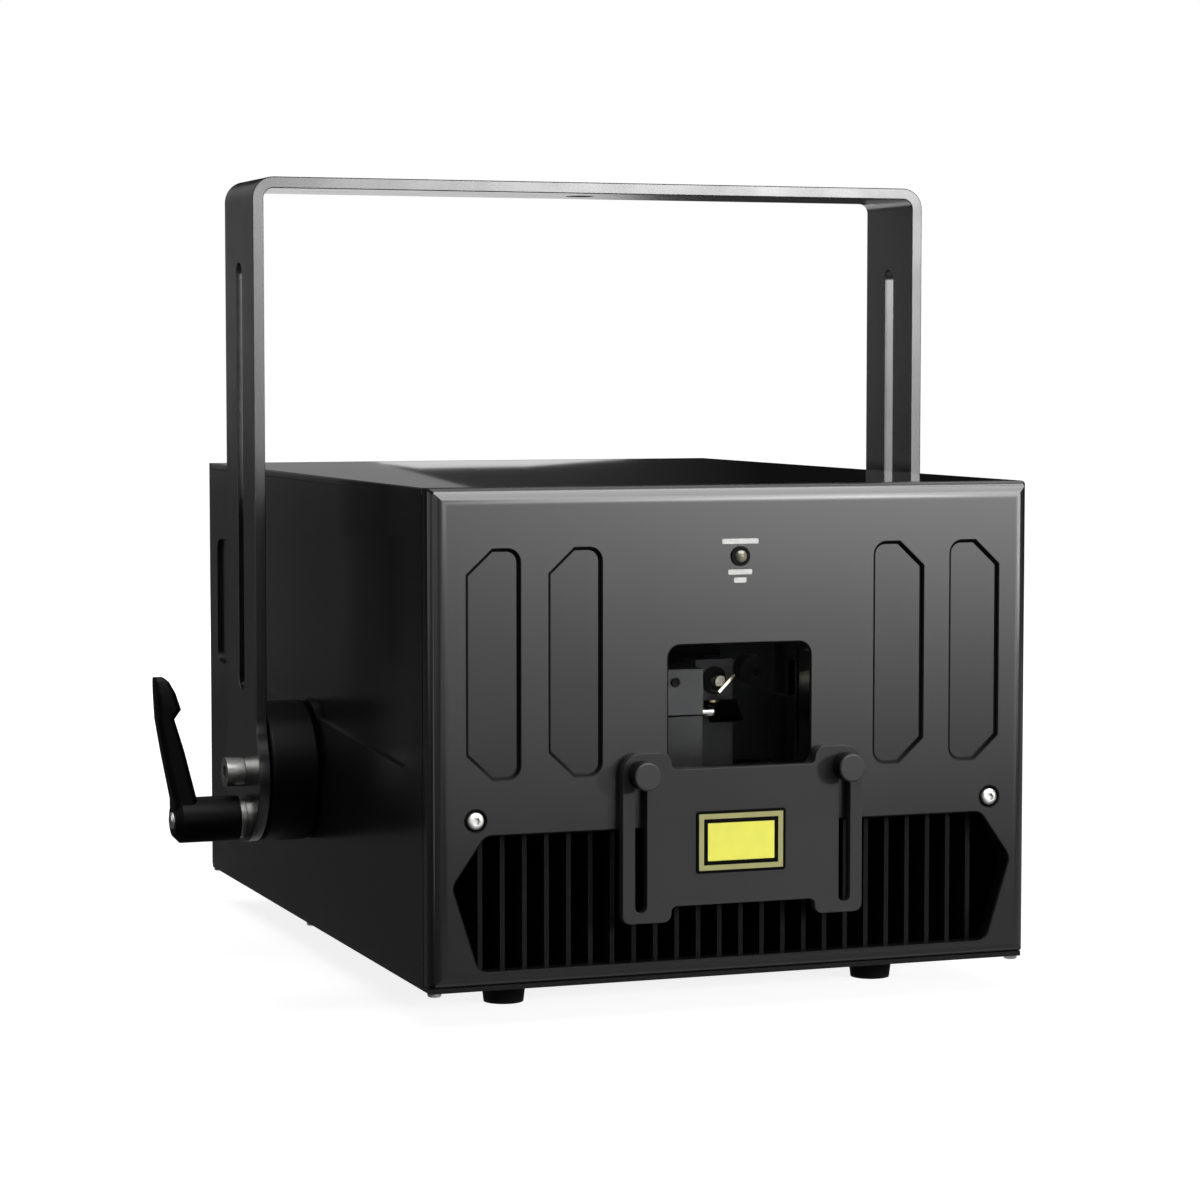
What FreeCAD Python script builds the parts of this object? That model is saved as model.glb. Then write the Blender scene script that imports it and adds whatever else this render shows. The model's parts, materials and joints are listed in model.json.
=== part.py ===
"""Laser show projector, every piece a solid of its own.

Millimetres. X runs to the right as the front is seen, Y runs to the rear, Z runs up.
The origin lies on the surface that the feet stand on, under the middle of the part's whole extent.
"""
import FreeCAD, Part
import math
import os

# Housing plates
housing_width = 261.0
housing_depth = 369.0
housing_height = 200.0
front_thickness = 12.0
front_edge_radius = 7.0
panel_thickness = 7.0
rear_thickness = 6.0
rear_edge_radius = 2.0
top_thickness = 3.0
top_lip_depth = 12.0
top_lip_thickness = 2.0
bottom_thickness = 2.0
bottom_front_inset = 5.0
bottom_side_inset = 0.5

# Clearances shared by all pieces
overrun = 1.0
seat_clearance = 0.1
slide_clearance = 0.2
free_clearance = 0.3
running_clearance = 0.05

# Feet
foot_height = 14.0
foot_top_radius = 10.0
foot_bottom_radius = 8.3
foot_side_inset = 47.5
foot_end_inset = 54.0
foot_recess_radius = 5.0
foot_recess_depth = 6.0
foot_screw_radius = 2.0
foot_screw_head_radius = 3.6
foot_screw_head_height = 2.6

# Optical bench with the fins below it
bench_mid_height = 68.8
bench_thickness = 15.0
fin_pitch = 9.34
fin_thickness = 2.0
fin_side_margin = 14.0
fin_floor_gap = 4.0
fin_front_setback = 3.0
fin_rear_gap = 8.0

# Front plate openings and pockets
window_width = 61.7
window_height = 50.0
window_radius = 5.0
vent_floor = 8.5
vent_screw_margin = 6.5
vent_side_margin = 8.8
vent_top_shoulder = 13.5
vent_bottom_shoulder = 10.9
vent_tip_share = 0.64
vent_corner_radius = 5.0
vent_relief_depth = 5.0
vent_relief_gap = 2.0
pocket_width = 21.5
pocket_gap = 12.8
pocket_side_margin = 15.0
pocket_top_drop = 24.4
pocket_screw_margin = 16.3
pocket_depth = 1.6
pocket_chamfer_width = 10.5
pocket_chamfer_height = 9.8
pocket_corner_radius = 5.0

# Screws of the covers and plates
front_screw_inset = 11.2
front_screw_radius = 2.0
front_screw_head_radius = 3.4
front_screw_head_height = 2.3
front_screw_sink_radius = 4.1
front_screw_sink_depth = 1.3
front_screw_grip = 12.0
cover_screw_radius = 1.5
cover_screw_head_radius = 2.8
cover_screw_head_height = 1.6
cover_screw_grip = 8.0
cover_screw_margin = 3.6
rear_screw_drop = 16.0

# Emission lamp
lamp_rise_share = 0.5537
lamp_bezel_radius = 4.0
lamp_bezel_height = 0.9
lamp_barrel_radius = 3.2
lamp_lens_radius = 2.5
lamp_lens_rise = 1.6

# Aperture glass with its gasket and clamp frame
gasket_thickness = 1.6
gasket_step = 1.4
glass_overlap = 4.0
glass_thickness = 3.0
clamp_rim = 4.0
clamp_cover = 2.5
clamp_bench_gap = 1.1

# Mask plate and its thumbscrews
mask_width = 104.6
mask_thickness = 4.5
mask_overlap = 0.7
mask_spare_travel = 3.0
mask_slot_radius = 2.5
mask_slot_edge = 7.9
mask_screw_drop = 1.5
mask_ear_width = 21.0
mask_ear_rise = 7.0
mask_ear_drop = 6.3
mask_web = 4.3
mask_top_radius = 8.0
mask_inner_radius = 4.5
mask_foot_radius = 3.5
thumb_shank_radius = 2.0
thumb_head_radius = 5.8
thumb_head_height = 8.0
thumb_head_chamfer = 0.7

# Side panel pocket, low edges above the pivot and high edges below the top
side_pocket_front_margin = 33.0
side_pocket_rear_margin = 17.0
side_pocket_front_rise = 17.2
side_pocket_front_drop = 20.0
side_pocket_rear_rise = 35.2
side_pocket_rear_drop = 36.7
side_pocket_depth = 1.6
side_pocket_radius = 6.0
side_pocket_hub_margin = 1.5

# Yoke, hubs and pivot screws
pivot_depth = 191.0
hub_wall = 3.3
hub_chamfer = 1.6
yoke_gap = 23.3
yoke_bar_width = 50.0
yoke_thickness = 5.0
yoke_rise = 260.4
yoke_bend_radius = 4.5
yoke_lug_blend = 24.0
yoke_slot_width = 10.0
yoke_slot_lug_margin = 5.2
yoke_slot_bar_margin = 36.5
yoke_hole_radius = 6.5
pivot_radius = 4.0
pivot_head_radius = 6.5
pivot_head_height = 8.0
pivot_grip = 22.0
socket_key_share = 0.5

# Clamping levers
clamp_offset = 20.4
clamp_stud_radius = 4.0
clamp_flange_radius = 9.0
clamp_flange_thickness = 2.4
clamp_boss_radius = 7.0
clamp_boss_length = 13.0
clamp_nut_radius = 7.0
clamp_nut_thickness = 5.0
clamp_neck_depth = 6.0
lever_hub_radius = 10.0
lever_hub_chamfer = 3.0
lever_wall = 4.0
lever_reach = 63.4
lever_lift = 3.5
lever_spring_length = 5.7
lever_screw_radius = 2.5
lever_screw_head_radius = 4.0
lever_screw_head_height = 4.0
lever_screw_proud = 1.2
lever_arm_width = 12.0
lever_arm_thickness = 11.0
lever_lean = 10.0
lever_corner_share = 0.3
# Height, lean, thickness and width of the arm's sections, as shares of
# lever_reach, lever_lean, lever_arm_thickness and lever_arm_width
lever_section_shares = (
    (0.0, 0.0, 1.0, 1.25),
    (0.15, 0.06, 0.955, 1.1),
    (0.49, 0.54, 0.87, 0.93),
    (0.71, 0.87, 0.69, 0.87),
    (0.775, 0.73, 1.02, 0.9),
    (0.89, 0.87, 0.83, 0.84),
    (0.97, 1.02, 0.6, 0.62),
    (1.0, 1.14, 0.39, 0.4),
)

# Scanner towers, motors and mirrors
scan_depth = 48.0
scan_beam_run = 33.0
scan_tilt_height = 27.2
scan_mirror_gap = 12.0
scan_motor_radius = 6.0
scan_motor_overhang = 12.0
scan_shaft_radius = 1.5
scan_bearing_depth = 10.0
tilt_tower_width = 26.0
tilt_tower_depth = 26.0
tilt_mirror_room = 14.0
tilt_cap_height = 19.4
tilt_cap_slit = 0.6
pan_tower_width = 17.0
pan_tower_depth = 20.0
pan_mirror_room = 9.5
pan_tower_head = 9.0
mirror_thickness = 1.2
tilt_mirror_length = 15.0
tilt_mirror_width = 11.0
pan_mirror_length = 9.0
pan_mirror_width = 10.0
mirror_clamp_radius = 2.6
mirror_clamp_length = 5.0
mirror_angle = 45.0

# Laser modules and combining mirrors
laser_width = 26.0
laser_gap = 5.0
laser_side_gap = 3.5
laser_length = 90.0
laser_height = 58.0
laser_front_gap = 2.0
laser_edge_radius = 3.0
laser_barrel_radius = 7.0
laser_barrel_length = 9.0
laser_lens_radius = 3.0
combiner_size = 18.0
combiner_thickness = 1.2
combiner_mount_width = 15.0
combiner_seat_depth = 3.0

# Power supply and circuit boards
supply_width = 88.0
supply_length = 150.0
supply_height = 42.0
supply_rear_gap = 20.0
supply_side_gap = 6.0
supply_terminal_length = 14.0
supply_terminal_drop = 16.0
board_thickness = 1.6
standoff_radius = 3.0
standoff_height = 8.0
standoff_inset = 5.0
scan_board_width = 76.0
scan_board_length = 60.0
scan_board_gap = 4.0
laser_board_width = 86.0
laser_board_length = 86.0
laser_board_gap = 8.0
control_board_width = 76.0
control_board_length = 110.0
component_height = 7.0
component_share = 0.45

# Fans behind the rear panel
fan_size = 40.0
fan_wall = 1.2
fan_corner_radius = 3.5
fan_spacing = 120.0
fan_hub_radius = 9.0
fan_hub_length = 9.5
fan_spindle_radius = 1.5
fan_motor_length = 3.5
fan_strut_width = 4.0
fan_blade_gap = 1.0
fan_blade_chord = 8.5
fan_blade_thickness = 1.2
fan_blade_root_angle = 52.0
fan_blade_tip_angle = 32.0
fan_blade_count = 5
grille_radius = 18.0
grille_slot_width = 3.4
grille_pitch = 5.8

# Rear sockets, switch and safety eye
socket_flange_width = 26.0
socket_flange_height = 31.0
socket_flange_thickness = 2.4
socket_flange_radius = 4.0
socket_barrel_radius = 11.8
socket_barrel_length = 18.0
socket_bore_radius = 9.3
socket_bore_depth = 14.0
socket_pin_radius = 1.2
socket_pin_length = 7.0
socket_pin_circle = 4.2
socket_hole_radius = 1.6
socket_hole_depth = 4.0
network_bore_width = 13.0
network_bore_height = 11.0
signal_flange_width = 53.0
signal_flange_height = 12.5
signal_flange_thickness = 1.2
signal_shell_width = 39.0
signal_shell_height = 8.4
signal_shell_slant = 1.6
signal_shell_rise = 5.8
signal_body_depth = 9.0
signal_shell_radius = 1.8
upper_row_share = 0.677
lower_row_share = 0.263
rear_side_margin = 23.5
socket_gap = 12.0
signal_side_margin = 37.0
signal_gap = 6.0
key_flange_radius = 12.0
key_flange_thickness = 3.0
key_body_radius = 9.4
key_body_length = 22.0
key_barrel_radius = 6.0
key_barrel_length = 14.0
key_blade_width = 8.0
key_blade_thickness = 2.2
key_bow_radius = 10.0
key_bow_hole_radius = 3.0
key_neck_length = 6.0
eye_base_width = 44.0
eye_base_height = 24.0
eye_base_thickness = 5.0
eye_base_radius = 4.0
eye_tab_thickness = 6.0
eye_tab_radius = 15.0
eye_tab_reach = 16.0
eye_hole_radius = 8.0
eye_screw_radius = 2.5
eye_screw_head_radius = 4.5
eye_screw_head_height = 2.8
eye_screw_inset = 7.0

# Places worked out from the sizes above
half_width = housing_width / 2
inner_half = half_width - panel_thickness
front_reach = slide_clearance + mask_thickness + slide_clearance + thumb_head_height
rear_reach = eye_base_thickness + eye_tab_reach + eye_tab_radius
front_y = (front_reach - housing_depth - rear_reach) / 2
front_back_y = front_y + front_thickness
rear_y = front_y + housing_depth
rear_front_y = rear_y - rear_thickness
base_z = foot_height
floor_z = base_z + bottom_thickness
top_z = base_z + housing_height
cover_z = top_z - top_thickness
bench_mid_z = base_z + bench_mid_height
bench_top_z = bench_mid_z + bench_thickness / 2
bench_low_z = bench_mid_z - bench_thickness / 2
pivot_y = front_y + pivot_depth
hub_radius = clamp_offset + clamp_nut_radius + free_clearance + hub_wall
hub_face_x = -half_width - yoke_gap + slide_clearance
leg_inner_x = -half_width - yoke_gap
leg_outer_x = leg_inner_x - yoke_thickness
clamp_z = bench_mid_z - clamp_offset
clamp_seat_x = leg_outer_x - seat_clearance
lever_floor_reach = clamp_flange_thickness + clamp_boss_length + slide_clearance
lever_web_reach = lever_floor_reach + lever_wall
lever_head_reach = lever_web_reach + lever_lift + lever_spring_length
lever_end_reach = lever_head_reach + lever_screw_head_height - lever_screw_proud
window_low_z = bench_top_z + clamp_bench_gap + clamp_rim + free_clearance + glass_overlap
window_mid_z = window_low_z + window_height / 2
window_top_z = window_low_z + window_height
lamp_z = window_top_z + (top_z - window_top_z) * lamp_rise_share
mask_top_z = window_low_z + mask_overlap
mask_screw_z = mask_top_z - mask_screw_drop
mask_screw_x = mask_width / 2 - mask_slot_edge
mask_travel = window_height + mask_spare_travel
mask_back_y = front_y - slide_clearance
mask_front_y = mask_back_y - mask_thickness
front_screw_x = inner_half - front_screw_inset
scan_y = front_y + scan_depth
laser_pitch = laser_width + laser_gap
laser_outer_x = inner_half - laser_side_gap - laser_width / 2
scan_offset = laser_outer_x - laser_pitch - laser_pitch - scan_beam_run
tilt_z = bench_top_z + scan_tilt_height
pan_z = tilt_z + scan_mirror_gap
tower_right_x = scan_offset - tilt_mirror_room
tower_left_x = tower_right_x - tilt_tower_width
pan_tower_y = scan_y + pan_mirror_room
pan_motor_y = pan_tower_y + pan_tower_depth + scan_motor_overhang
laser_front_y = pan_motor_y + laser_barrel_length + laser_front_gap
laser_rear_y = laser_front_y + laser_length
supply_rear_y = rear_front_y - supply_rear_gap
supply_front_y = supply_rear_y - supply_length
fan_bore_radius = fan_size / 2 - fan_wall
fan_depth = fan_motor_length + fan_blade_gap + fan_hub_length + fan_blade_gap
fan_y = rear_front_y - fan_depth
fan_z = (floor_z + bench_low_z) / 2
upper_row_z = bench_top_z + (cover_z - bench_top_z) * upper_row_share
lower_row_z = bench_top_z + (cover_z - bench_top_z) * lower_row_share
rear_row_x = inner_half - rear_side_margin
inner_row_x = rear_row_x - socket_flange_width - socket_gap

X = FreeCAD.Vector(1, 0, 0)
Y = FreeCAD.Vector(0, 1, 0)
Z = FreeCAD.Vector(0, 0, 1)


def at(x, y, z):
    """A point of the part's frame."""
    return FreeCAD.Vector(x, y, z)


def block(x, y, z):
    """A box between pairs of coordinates."""
    return Part.makeBox(x[1] - x[0], y[1] - y[0], z[1] - z[0], at(x[0], y[0], z[0]))


def rod(radius, start, direction, length):
    """A cylinder from a point along a direction."""
    return Part.makeCylinder(radius, length, start, direction)


def outline(corners, place):
    """A flat face from corners (a, b, radius), with an arc at each corner that has a radius."""
    count = len(corners)
    stops = []
    for i, (a, b, radius) in enumerate(corners):
        here = place(a, b)
        if radius == 0:
            stops.append((here, None, here))
            continue
        before = place(*corners[i - 1][:2]) - here
        after = place(*corners[(i + 1) % count][:2]) - here
        before.normalize()
        after.normalize()
        half_turn = before.getAngle(after) / 2
        along = radius / math.tan(half_turn)
        inward = before + after
        inward.normalize()
        crown = here + inward * (radius / math.sin(half_turn) - radius)
        stops.append((here + before * along, crown, here + after * along))
    edges = []
    for i, (start, crown, end) in enumerate(stops):
        if crown is not None:
            edges.append(Part.Arc(start, crown, end).toShape())
        following = stops[(i + 1) % count][0]
        if end.distanceToPoint(following) > Part.Precision.confusion():
            edges.append(Part.LineSegment(end, following).toShape())
    return Part.Face(Part.Wire(edges))


def facing_front(y):
    """Places an outline drawn in X and Z at a depth."""
    return lambda a, b: at(a, y, b)


def facing_side(x):
    """Places an outline drawn in Y and Z at a width."""
    return lambda a, b: at(x, a, b)


def facing_up(z):
    """Places an outline drawn in X and Y at a height."""
    return lambda a, b: at(a, b, z)


def rounded(mid_a, mid_b, width, height, radius):
    """Corners of a rounded rectangle about a middle point."""
    a = width / 2
    b = height / 2
    signs = ((-1, -1), (1, -1), (1, 1), (-1, 1))
    return [(mid_a + s * a, mid_b + t * b, radius) for s, t in signs]


def turned(profile, start, direction):
    """A solid of revolution from (distance along the axis, radius) corners."""
    across = Z if abs(direction.dot(Z)) < abs(direction.dot(X)) + abs(direction.dot(Y)) else X
    points = [start + direction * along + across * radius for along, radius in profile]
    face = Part.Face(Part.makePolygon(points + points[:1]))
    return face.revolve(start, direction, 360)


def ring_groove(inner, outer, start, direction, depth):
    """A ring-shaped cut about an axis."""
    return rod(outer, start, direction, depth).cut(rod(inner, start, direction, depth))


def hex_key(radius, start, direction, depth):
    """A six-sided socket whose corners lie on a radius."""
    across = Z if abs(direction.dot(Z)) == 0 else X
    corner = across * radius
    points = []
    for step in range(6):
        spin = FreeCAD.Rotation(direction, 60 * step)
        points.append(start + spin.multVec(corner))
    return Part.Face(Part.makePolygon(points + points[:1])).extrude(direction * depth)


def joined(shapes):
    """Several touching shapes as one solid."""
    return shapes[0].fuse(shapes[1:]).removeSplitter()


def both_sides(shape):
    """A shape and its mirror image across the middle plane."""
    return [shape, shape.mirror(at(0, 0, 0), X)]


def screw(head_radius, head_height, radius, length, seat, direction):
    """A button-head screw seated at a point, its shank pointing along a direction."""
    dome = head_height / 2
    profile = [(-head_height, 0), (-head_height, head_radius - dome), (-dome, head_radius),
               (0, head_radius), (0, radius), (length, radius), (length, 0)]
    return turned(profile, seat, direction)


# Housing plates

def pocket_cut(left_x):
    """One shallow front pocket: chamfered on its outer side, rounded on its inner side."""
    right_x = left_x + pocket_width
    high_z = top_z - pocket_top_drop
    low_z = bench_mid_z + pocket_screw_margin
    corners = [
        (left_x, low_z + pocket_chamfer_height, 0), (left_x + pocket_chamfer_width, low_z, 0),
        (right_x, low_z, pocket_corner_radius), (right_x, high_z, pocket_corner_radius),
        (left_x + pocket_chamfer_width, high_z, 0), (left_x, high_z - pocket_chamfer_height, 0)]
    return outline(corners, facing_front(front_y - overrun)).extrude(Y * (pocket_depth + overrun))


def vent_cut():
    """The wide six-cornered air vent of the front plate."""
    tip_x = half_width - vent_side_margin
    low_z = base_z + vent_floor
    high_z = bench_mid_z - vent_screw_margin
    tip_z = low_z + (high_z - low_z) * vent_tip_share
    low_x = tip_x - vent_bottom_shoulder
    high_x = tip_x - vent_top_shoulder
    corners = [(-low_x, low_z), (low_x, low_z), (tip_x, tip_z),
               (high_x, high_z), (-high_x, high_z), (-tip_x, tip_z)]
    rounded_corners = [(a, b, vent_corner_radius) for a, b in corners]
    face = outline(rounded_corners, facing_front(front_y - overrun))
    return face.extrude(Y * (front_thickness + overrun + overrun))


def vent_relief():
    """The plate's back milled away behind the vent, so that the fins reach further forward."""
    low_z = floor_z + fin_floor_gap - vent_relief_gap
    height = bench_mid_z - vent_screw_margin - low_z
    corners = rounded(0, low_z + height / 2, inner_half + inner_half, height, vent_corner_radius)
    face = outline(corners, facing_front(front_back_y - vent_relief_depth))
    return face.extrude(Y * (vent_relief_depth + overrun))


def window_shape(grow, radius, y, depth):
    """A prism of the aperture's outline, grown on every side."""
    width = window_width + grow + grow
    height = window_height + grow + grow
    return outline(rounded(0, window_mid_z, width, height, radius), facing_front(y)).extrude(Y * depth)


def cover_screw_places():
    """Points under the housing where the bottom cover is screwed on."""
    x = half_width - panel_thickness / 2
    depths = (front_back_y - cover_screw_margin, pivot_y, rear_y - rear_thickness / 2)
    return [at(side * x, y, base_z) for side in (-1, 1) for y in depths]


def cover_screw_holes():
    """Holes for the bottom cover's screws in whatever they pass through."""
    radius = cover_screw_radius + seat_clearance
    length = cover_screw_grip + bottom_thickness + seat_clearance
    return [rod(radius, place, Z, length) for place in cover_screw_places()]


def rear_screw_places():
    """Points on the rear face where the rear panel is screwed to the side panels."""
    x = half_width - panel_thickness / 2
    heights = (base_z + rear_screw_drop, bench_mid_z, top_z - rear_screw_drop)
    return [at(side * x, rear_y, z) for side in (-1, 1) for z in heights]


def rear_screw_holes():
    """Holes for the rear panel's screws."""
    radius = cover_screw_radius + seat_clearance
    length = rear_thickness + cover_screw_grip + seat_clearance
    return [rod(radius, place, -Y, length) for place in rear_screw_places()]


def front_plate():
    """Thick milled front plate with a rounded front edge."""
    plate = block((-half_width, half_width), (front_y, front_back_y), (floor_z, top_z))
    middle_y = front_y + front_thickness / 2
    edges = [edge for edge in plate.Edges if edge.BoundBox.YMax < middle_y]
    plate = plate.makeFillet(front_edge_radius, edges)
    through = front_thickness + overrun + overrun
    start_y = front_y - overrun
    outer_pocket_x = -half_width + pocket_side_margin
    cuts = [vent_cut(), vent_relief(), window_shape(0, window_radius, start_y, through)]
    for x in (outer_pocket_x, outer_pocket_x + pocket_width + pocket_gap):
        cuts += both_sides(pocket_cut(x))
    lamp_radius = lamp_barrel_radius + seat_clearance
    cuts.append(rod(lamp_radius, at(0, start_y, lamp_z), Y, through))
    screw_start = at(-front_screw_x, start_y, bench_mid_z)
    screw_hole = rod(front_screw_radius + seat_clearance, screw_start, Y, through)
    sink = rod(front_screw_sink_radius, screw_start, Y, front_screw_sink_depth + overrun)
    thumb_hole = rod(thumb_shank_radius, at(-mask_screw_x, start_y, mask_screw_z), Y, through)
    for cut in (screw_hole, sink, thumb_hole):
        cuts += both_sides(cut)
    return plate.cut(cuts + cover_screw_holes())


def side_panel():
    """Left side panel: a shallow tapering pocket that steps round the hub's seat."""
    panel = block((-half_width, -inner_half), (front_back_y, rear_front_y), (floor_z, cover_z))
    near_y = front_y + side_pocket_front_margin
    far_y = rear_y - side_pocket_rear_margin
    corners = [
        (near_y, bench_mid_z + side_pocket_front_rise, side_pocket_radius),
        (far_y, bench_mid_z + side_pocket_rear_rise, side_pocket_radius),
        (far_y, top_z - side_pocket_rear_drop, side_pocket_radius),
        (near_y, top_z - side_pocket_front_drop, side_pocket_radius)]
    start = -half_width - overrun
    depth = side_pocket_depth + overrun
    pocket = outline(corners, facing_side(start)).extrude(X * depth)
    pivot = at(start, pivot_y, bench_mid_z)
    seat = rod(hub_radius + side_pocket_hub_margin, pivot, X, depth)
    bolt = rod(pivot_radius + free_clearance, pivot, X, panel_thickness + overrun + overrun)
    return panel.cut([pocket.cut(seat), bolt] + cover_screw_holes() + rear_screw_holes())


def top_cover():
    """Folded top cover: a flat sheet with a lip inside each side panel."""
    lip_x = inner_half - slide_clearance
    lip_in = lip_x - top_lip_thickness
    lip_z = cover_z - top_lip_depth
    corners = [
        (-half_width, top_z), (-half_width, cover_z), (-lip_x, cover_z), (-lip_x, lip_z),
        (-lip_in, lip_z), (-lip_in, cover_z), (lip_in, cover_z), (lip_in, lip_z),
        (lip_x, lip_z), (lip_x, cover_z), (half_width, cover_z), (half_width, top_z)]
    profile = outline([(a, b, 0) for a, b in corners], facing_front(front_back_y))
    return profile.extrude(Y * (rear_front_y - front_back_y))


def foot_places():
    """Points on the housing's underside where the feet are fixed."""
    x = half_width - foot_side_inset
    depths = (front_y + foot_end_inset, rear_y - foot_end_inset)
    return [at(side * x, y, base_z) for side in (-1, 1) for y in depths]


def bottom_cover():
    """Flat bottom sheet with screw holes."""
    x = half_width - bottom_side_inset
    sheet = block((-x, x), (front_y + bottom_front_inset, rear_y - bottom_side_inset), (base_z, floor_z))
    radius = foot_screw_radius + seat_clearance
    foot_holes = [rod(radius, place, Z, bottom_thickness) for place in foot_places()]
    return sheet.cut(cover_screw_holes() + foot_holes)


def grille_cuts(middle_x):
    """Upright slots that fill a circle, in front of a fan."""
    half_slot = grille_slot_width / 2
    steps = int((grille_radius - half_slot) / grille_pitch)
    cuts = []
    for step in range(-steps, steps + 1):
        offset = step * grille_pitch
        length = 2 * math.sqrt(grille_radius ** 2 - (abs(offset) + half_slot) ** 2)
        corners = rounded(middle_x + offset, fan_z, grille_slot_width, length, half_slot)
        face = outline(corners, facing_front(rear_front_y - overrun))
        cuts.append(face.extrude(Y * (rear_thickness + overrun + overrun)))
    return cuts


def rear_panel():
    """Rear panel with fan slots and the holes of its sockets."""
    panel = block((-half_width, half_width), (rear_front_y, rear_y), (floor_z, top_z))
    middle_y = rear_y - rear_thickness / 2
    edges = [edge for edge in panel.Edges if edge.BoundBox.YMin > middle_y]
    panel = panel.makeFillet(rear_edge_radius, edges)
    start = rear_front_y - overrun
    through = Y * (rear_thickness + overrun + overrun)
    cuts = grille_cuts(-fan_spacing / 2) + grille_cuts(fan_spacing / 2)
    for x, z in socket_places().values():
        cuts.append(rod(socket_barrel_radius + free_clearance, at(x, start, z), Y, through.y))
    for x, z in signal_places():
        width = signal_shell_width + free_clearance
        height = signal_shell_height + free_clearance
        cuts.append(outline(rounded(x, z, width, height, 0), facing_front(start)).extrude(through))
    key_x, key_z = key_place()
    cuts.append(rod(key_body_radius + free_clearance, at(key_x, start, key_z), Y, through.y))
    for place in eye_screw_places():
        cuts.append(rod(eye_screw_radius + seat_clearance, at(place.x, start, place.z), Y, through.y))
    return panel.cut(cuts + cover_screw_holes() + rear_screw_holes())


def bench():
    """Optical bench and heat sink: one finned profile, machined back at both ends."""
    fin_low = floor_z + fin_floor_gap
    room = inner_half + inner_half - fin_side_margin - fin_side_margin
    gaps = int(room / fin_pitch)
    first = -gaps * fin_pitch / 2
    corners = [(inner_half, bench_low_z), (inner_half, bench_top_z),
               (-inner_half, bench_top_z), (-inner_half, bench_low_z)]
    half_fin = fin_thickness / 2
    for step in range(gaps + 1):
        x = first + step * fin_pitch
        corners += [(x - half_fin, bench_low_z), (x - half_fin, fin_low),
                    (x + half_fin, fin_low), (x + half_fin, bench_low_z)]
    start_y = front_back_y - vent_relief_depth
    length = rear_front_y - start_y
    profile = outline([(a, b, 0) for a, b in corners], facing_front(start_y)).extrude(Y * length)
    across = (-inner_half - overrun, inner_half + overrun)
    below = (fin_low - overrun, bench_low_z)
    front_end = block(across, (start_y - overrun, start_y + fin_front_setback), below)
    bench_end = block(across, (start_y - overrun, front_back_y), (bench_low_z, bench_top_z + overrun))
    rear_end = block(across, (fan_y - fin_rear_gap, rear_front_y + overrun), below)
    bolt_start = at(-inner_half, pivot_y, bench_mid_z)
    bolt_hole = rod(pivot_radius + seat_clearance, bolt_start, X, pivot_grip + overrun)
    front_hole = rod(front_screw_radius + seat_clearance, at(-front_screw_x, front_back_y, bench_mid_z),
                     Y, front_screw_grip + overrun)
    return profile.cut([front_end, bench_end, rear_end] + both_sides(bolt_hole) + both_sides(front_hole))


# Feet and screws

def feet():
    """Tapered rubber feet, hollow below for the screw."""
    bore = foot_screw_radius + seat_clearance
    ledge = foot_height - foot_recess_depth
    profile = [(0, bore), (0, foot_top_radius), (foot_height, foot_bottom_radius),
               (foot_height, foot_recess_radius), (ledge, foot_recess_radius), (ledge, bore)]
    return [turned(profile, place, -Z) for place in foot_places()]


def foot_screws():
    """Screws that hold the feet to the bottom cover."""
    solid = foot_height - foot_recess_depth
    drop = Z * solid
    return [screw(foot_screw_head_radius, foot_screw_head_height, foot_screw_radius,
                  solid + bottom_thickness, place - drop, Z) for place in foot_places()]


def front_screws():
    """Two button-head screws through the front plate into the bench."""
    seat = at(-front_screw_x, front_y + front_screw_sink_depth, bench_mid_z)
    length = front_thickness - front_screw_sink_depth + front_screw_grip
    left = screw(front_screw_head_radius, front_screw_head_height, front_screw_radius, length, seat, Y)
    return both_sides(left)


def bottom_screws():
    """Button-head screws along the edges of the bottom cover."""
    return [screw(cover_screw_head_radius, cover_screw_head_height, cover_screw_radius,
                  cover_screw_grip + bottom_thickness, place, Z) for place in cover_screw_places()]


def rear_screws():
    """Button-head screws along the sides of the rear panel."""
    return [screw(cover_screw_head_radius, cover_screw_head_height, cover_screw_radius,
                  cover_screw_grip + rear_thickness, place, -Y) for place in rear_screw_places()]


# Emission lamp and aperture

def lamp_bezel():
    """Flanged ring through the front plate."""
    bore = lamp_lens_radius + seat_clearance
    profile = [(-lamp_bezel_height, bore), (-lamp_bezel_height, lamp_bezel_radius), (0, lamp_bezel_radius),
               (0, lamp_barrel_radius), (front_thickness, lamp_barrel_radius), (front_thickness, bore)]
    return turned(profile, at(0, front_y, lamp_z), Y)


def lamp_lens():
    """Domed lens inside the bezel."""
    place = at(0, front_y, lamp_z)
    body = rod(lamp_lens_radius, place - Y * lamp_bezel_height, Y, front_thickness + lamp_bezel_height)
    sphere_radius = (lamp_lens_radius ** 2 + lamp_lens_rise ** 2) / (lamp_lens_rise + lamp_lens_rise)
    centre = place - Y * (lamp_bezel_height + lamp_lens_rise - sphere_radius)
    dome = Part.makeSphere(sphere_radius, centre)
    keep = rod(lamp_lens_radius, place - Y * (lamp_bezel_height + lamp_lens_rise), Y, lamp_lens_rise)
    return joined([body, dome.common(keep)])


def aperture_gasket():
    """Soft frame between the front plate and the glass."""
    outer = window_shape(glass_overlap, window_radius, front_back_y, gasket_thickness)
    return outer.cut(window_shape(gasket_step, window_radius, front_back_y, gasket_thickness))


def aperture_glass():
    """Clear pane behind the aperture."""
    return window_shape(glass_overlap, window_radius, front_back_y + gasket_thickness, glass_thickness)


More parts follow.
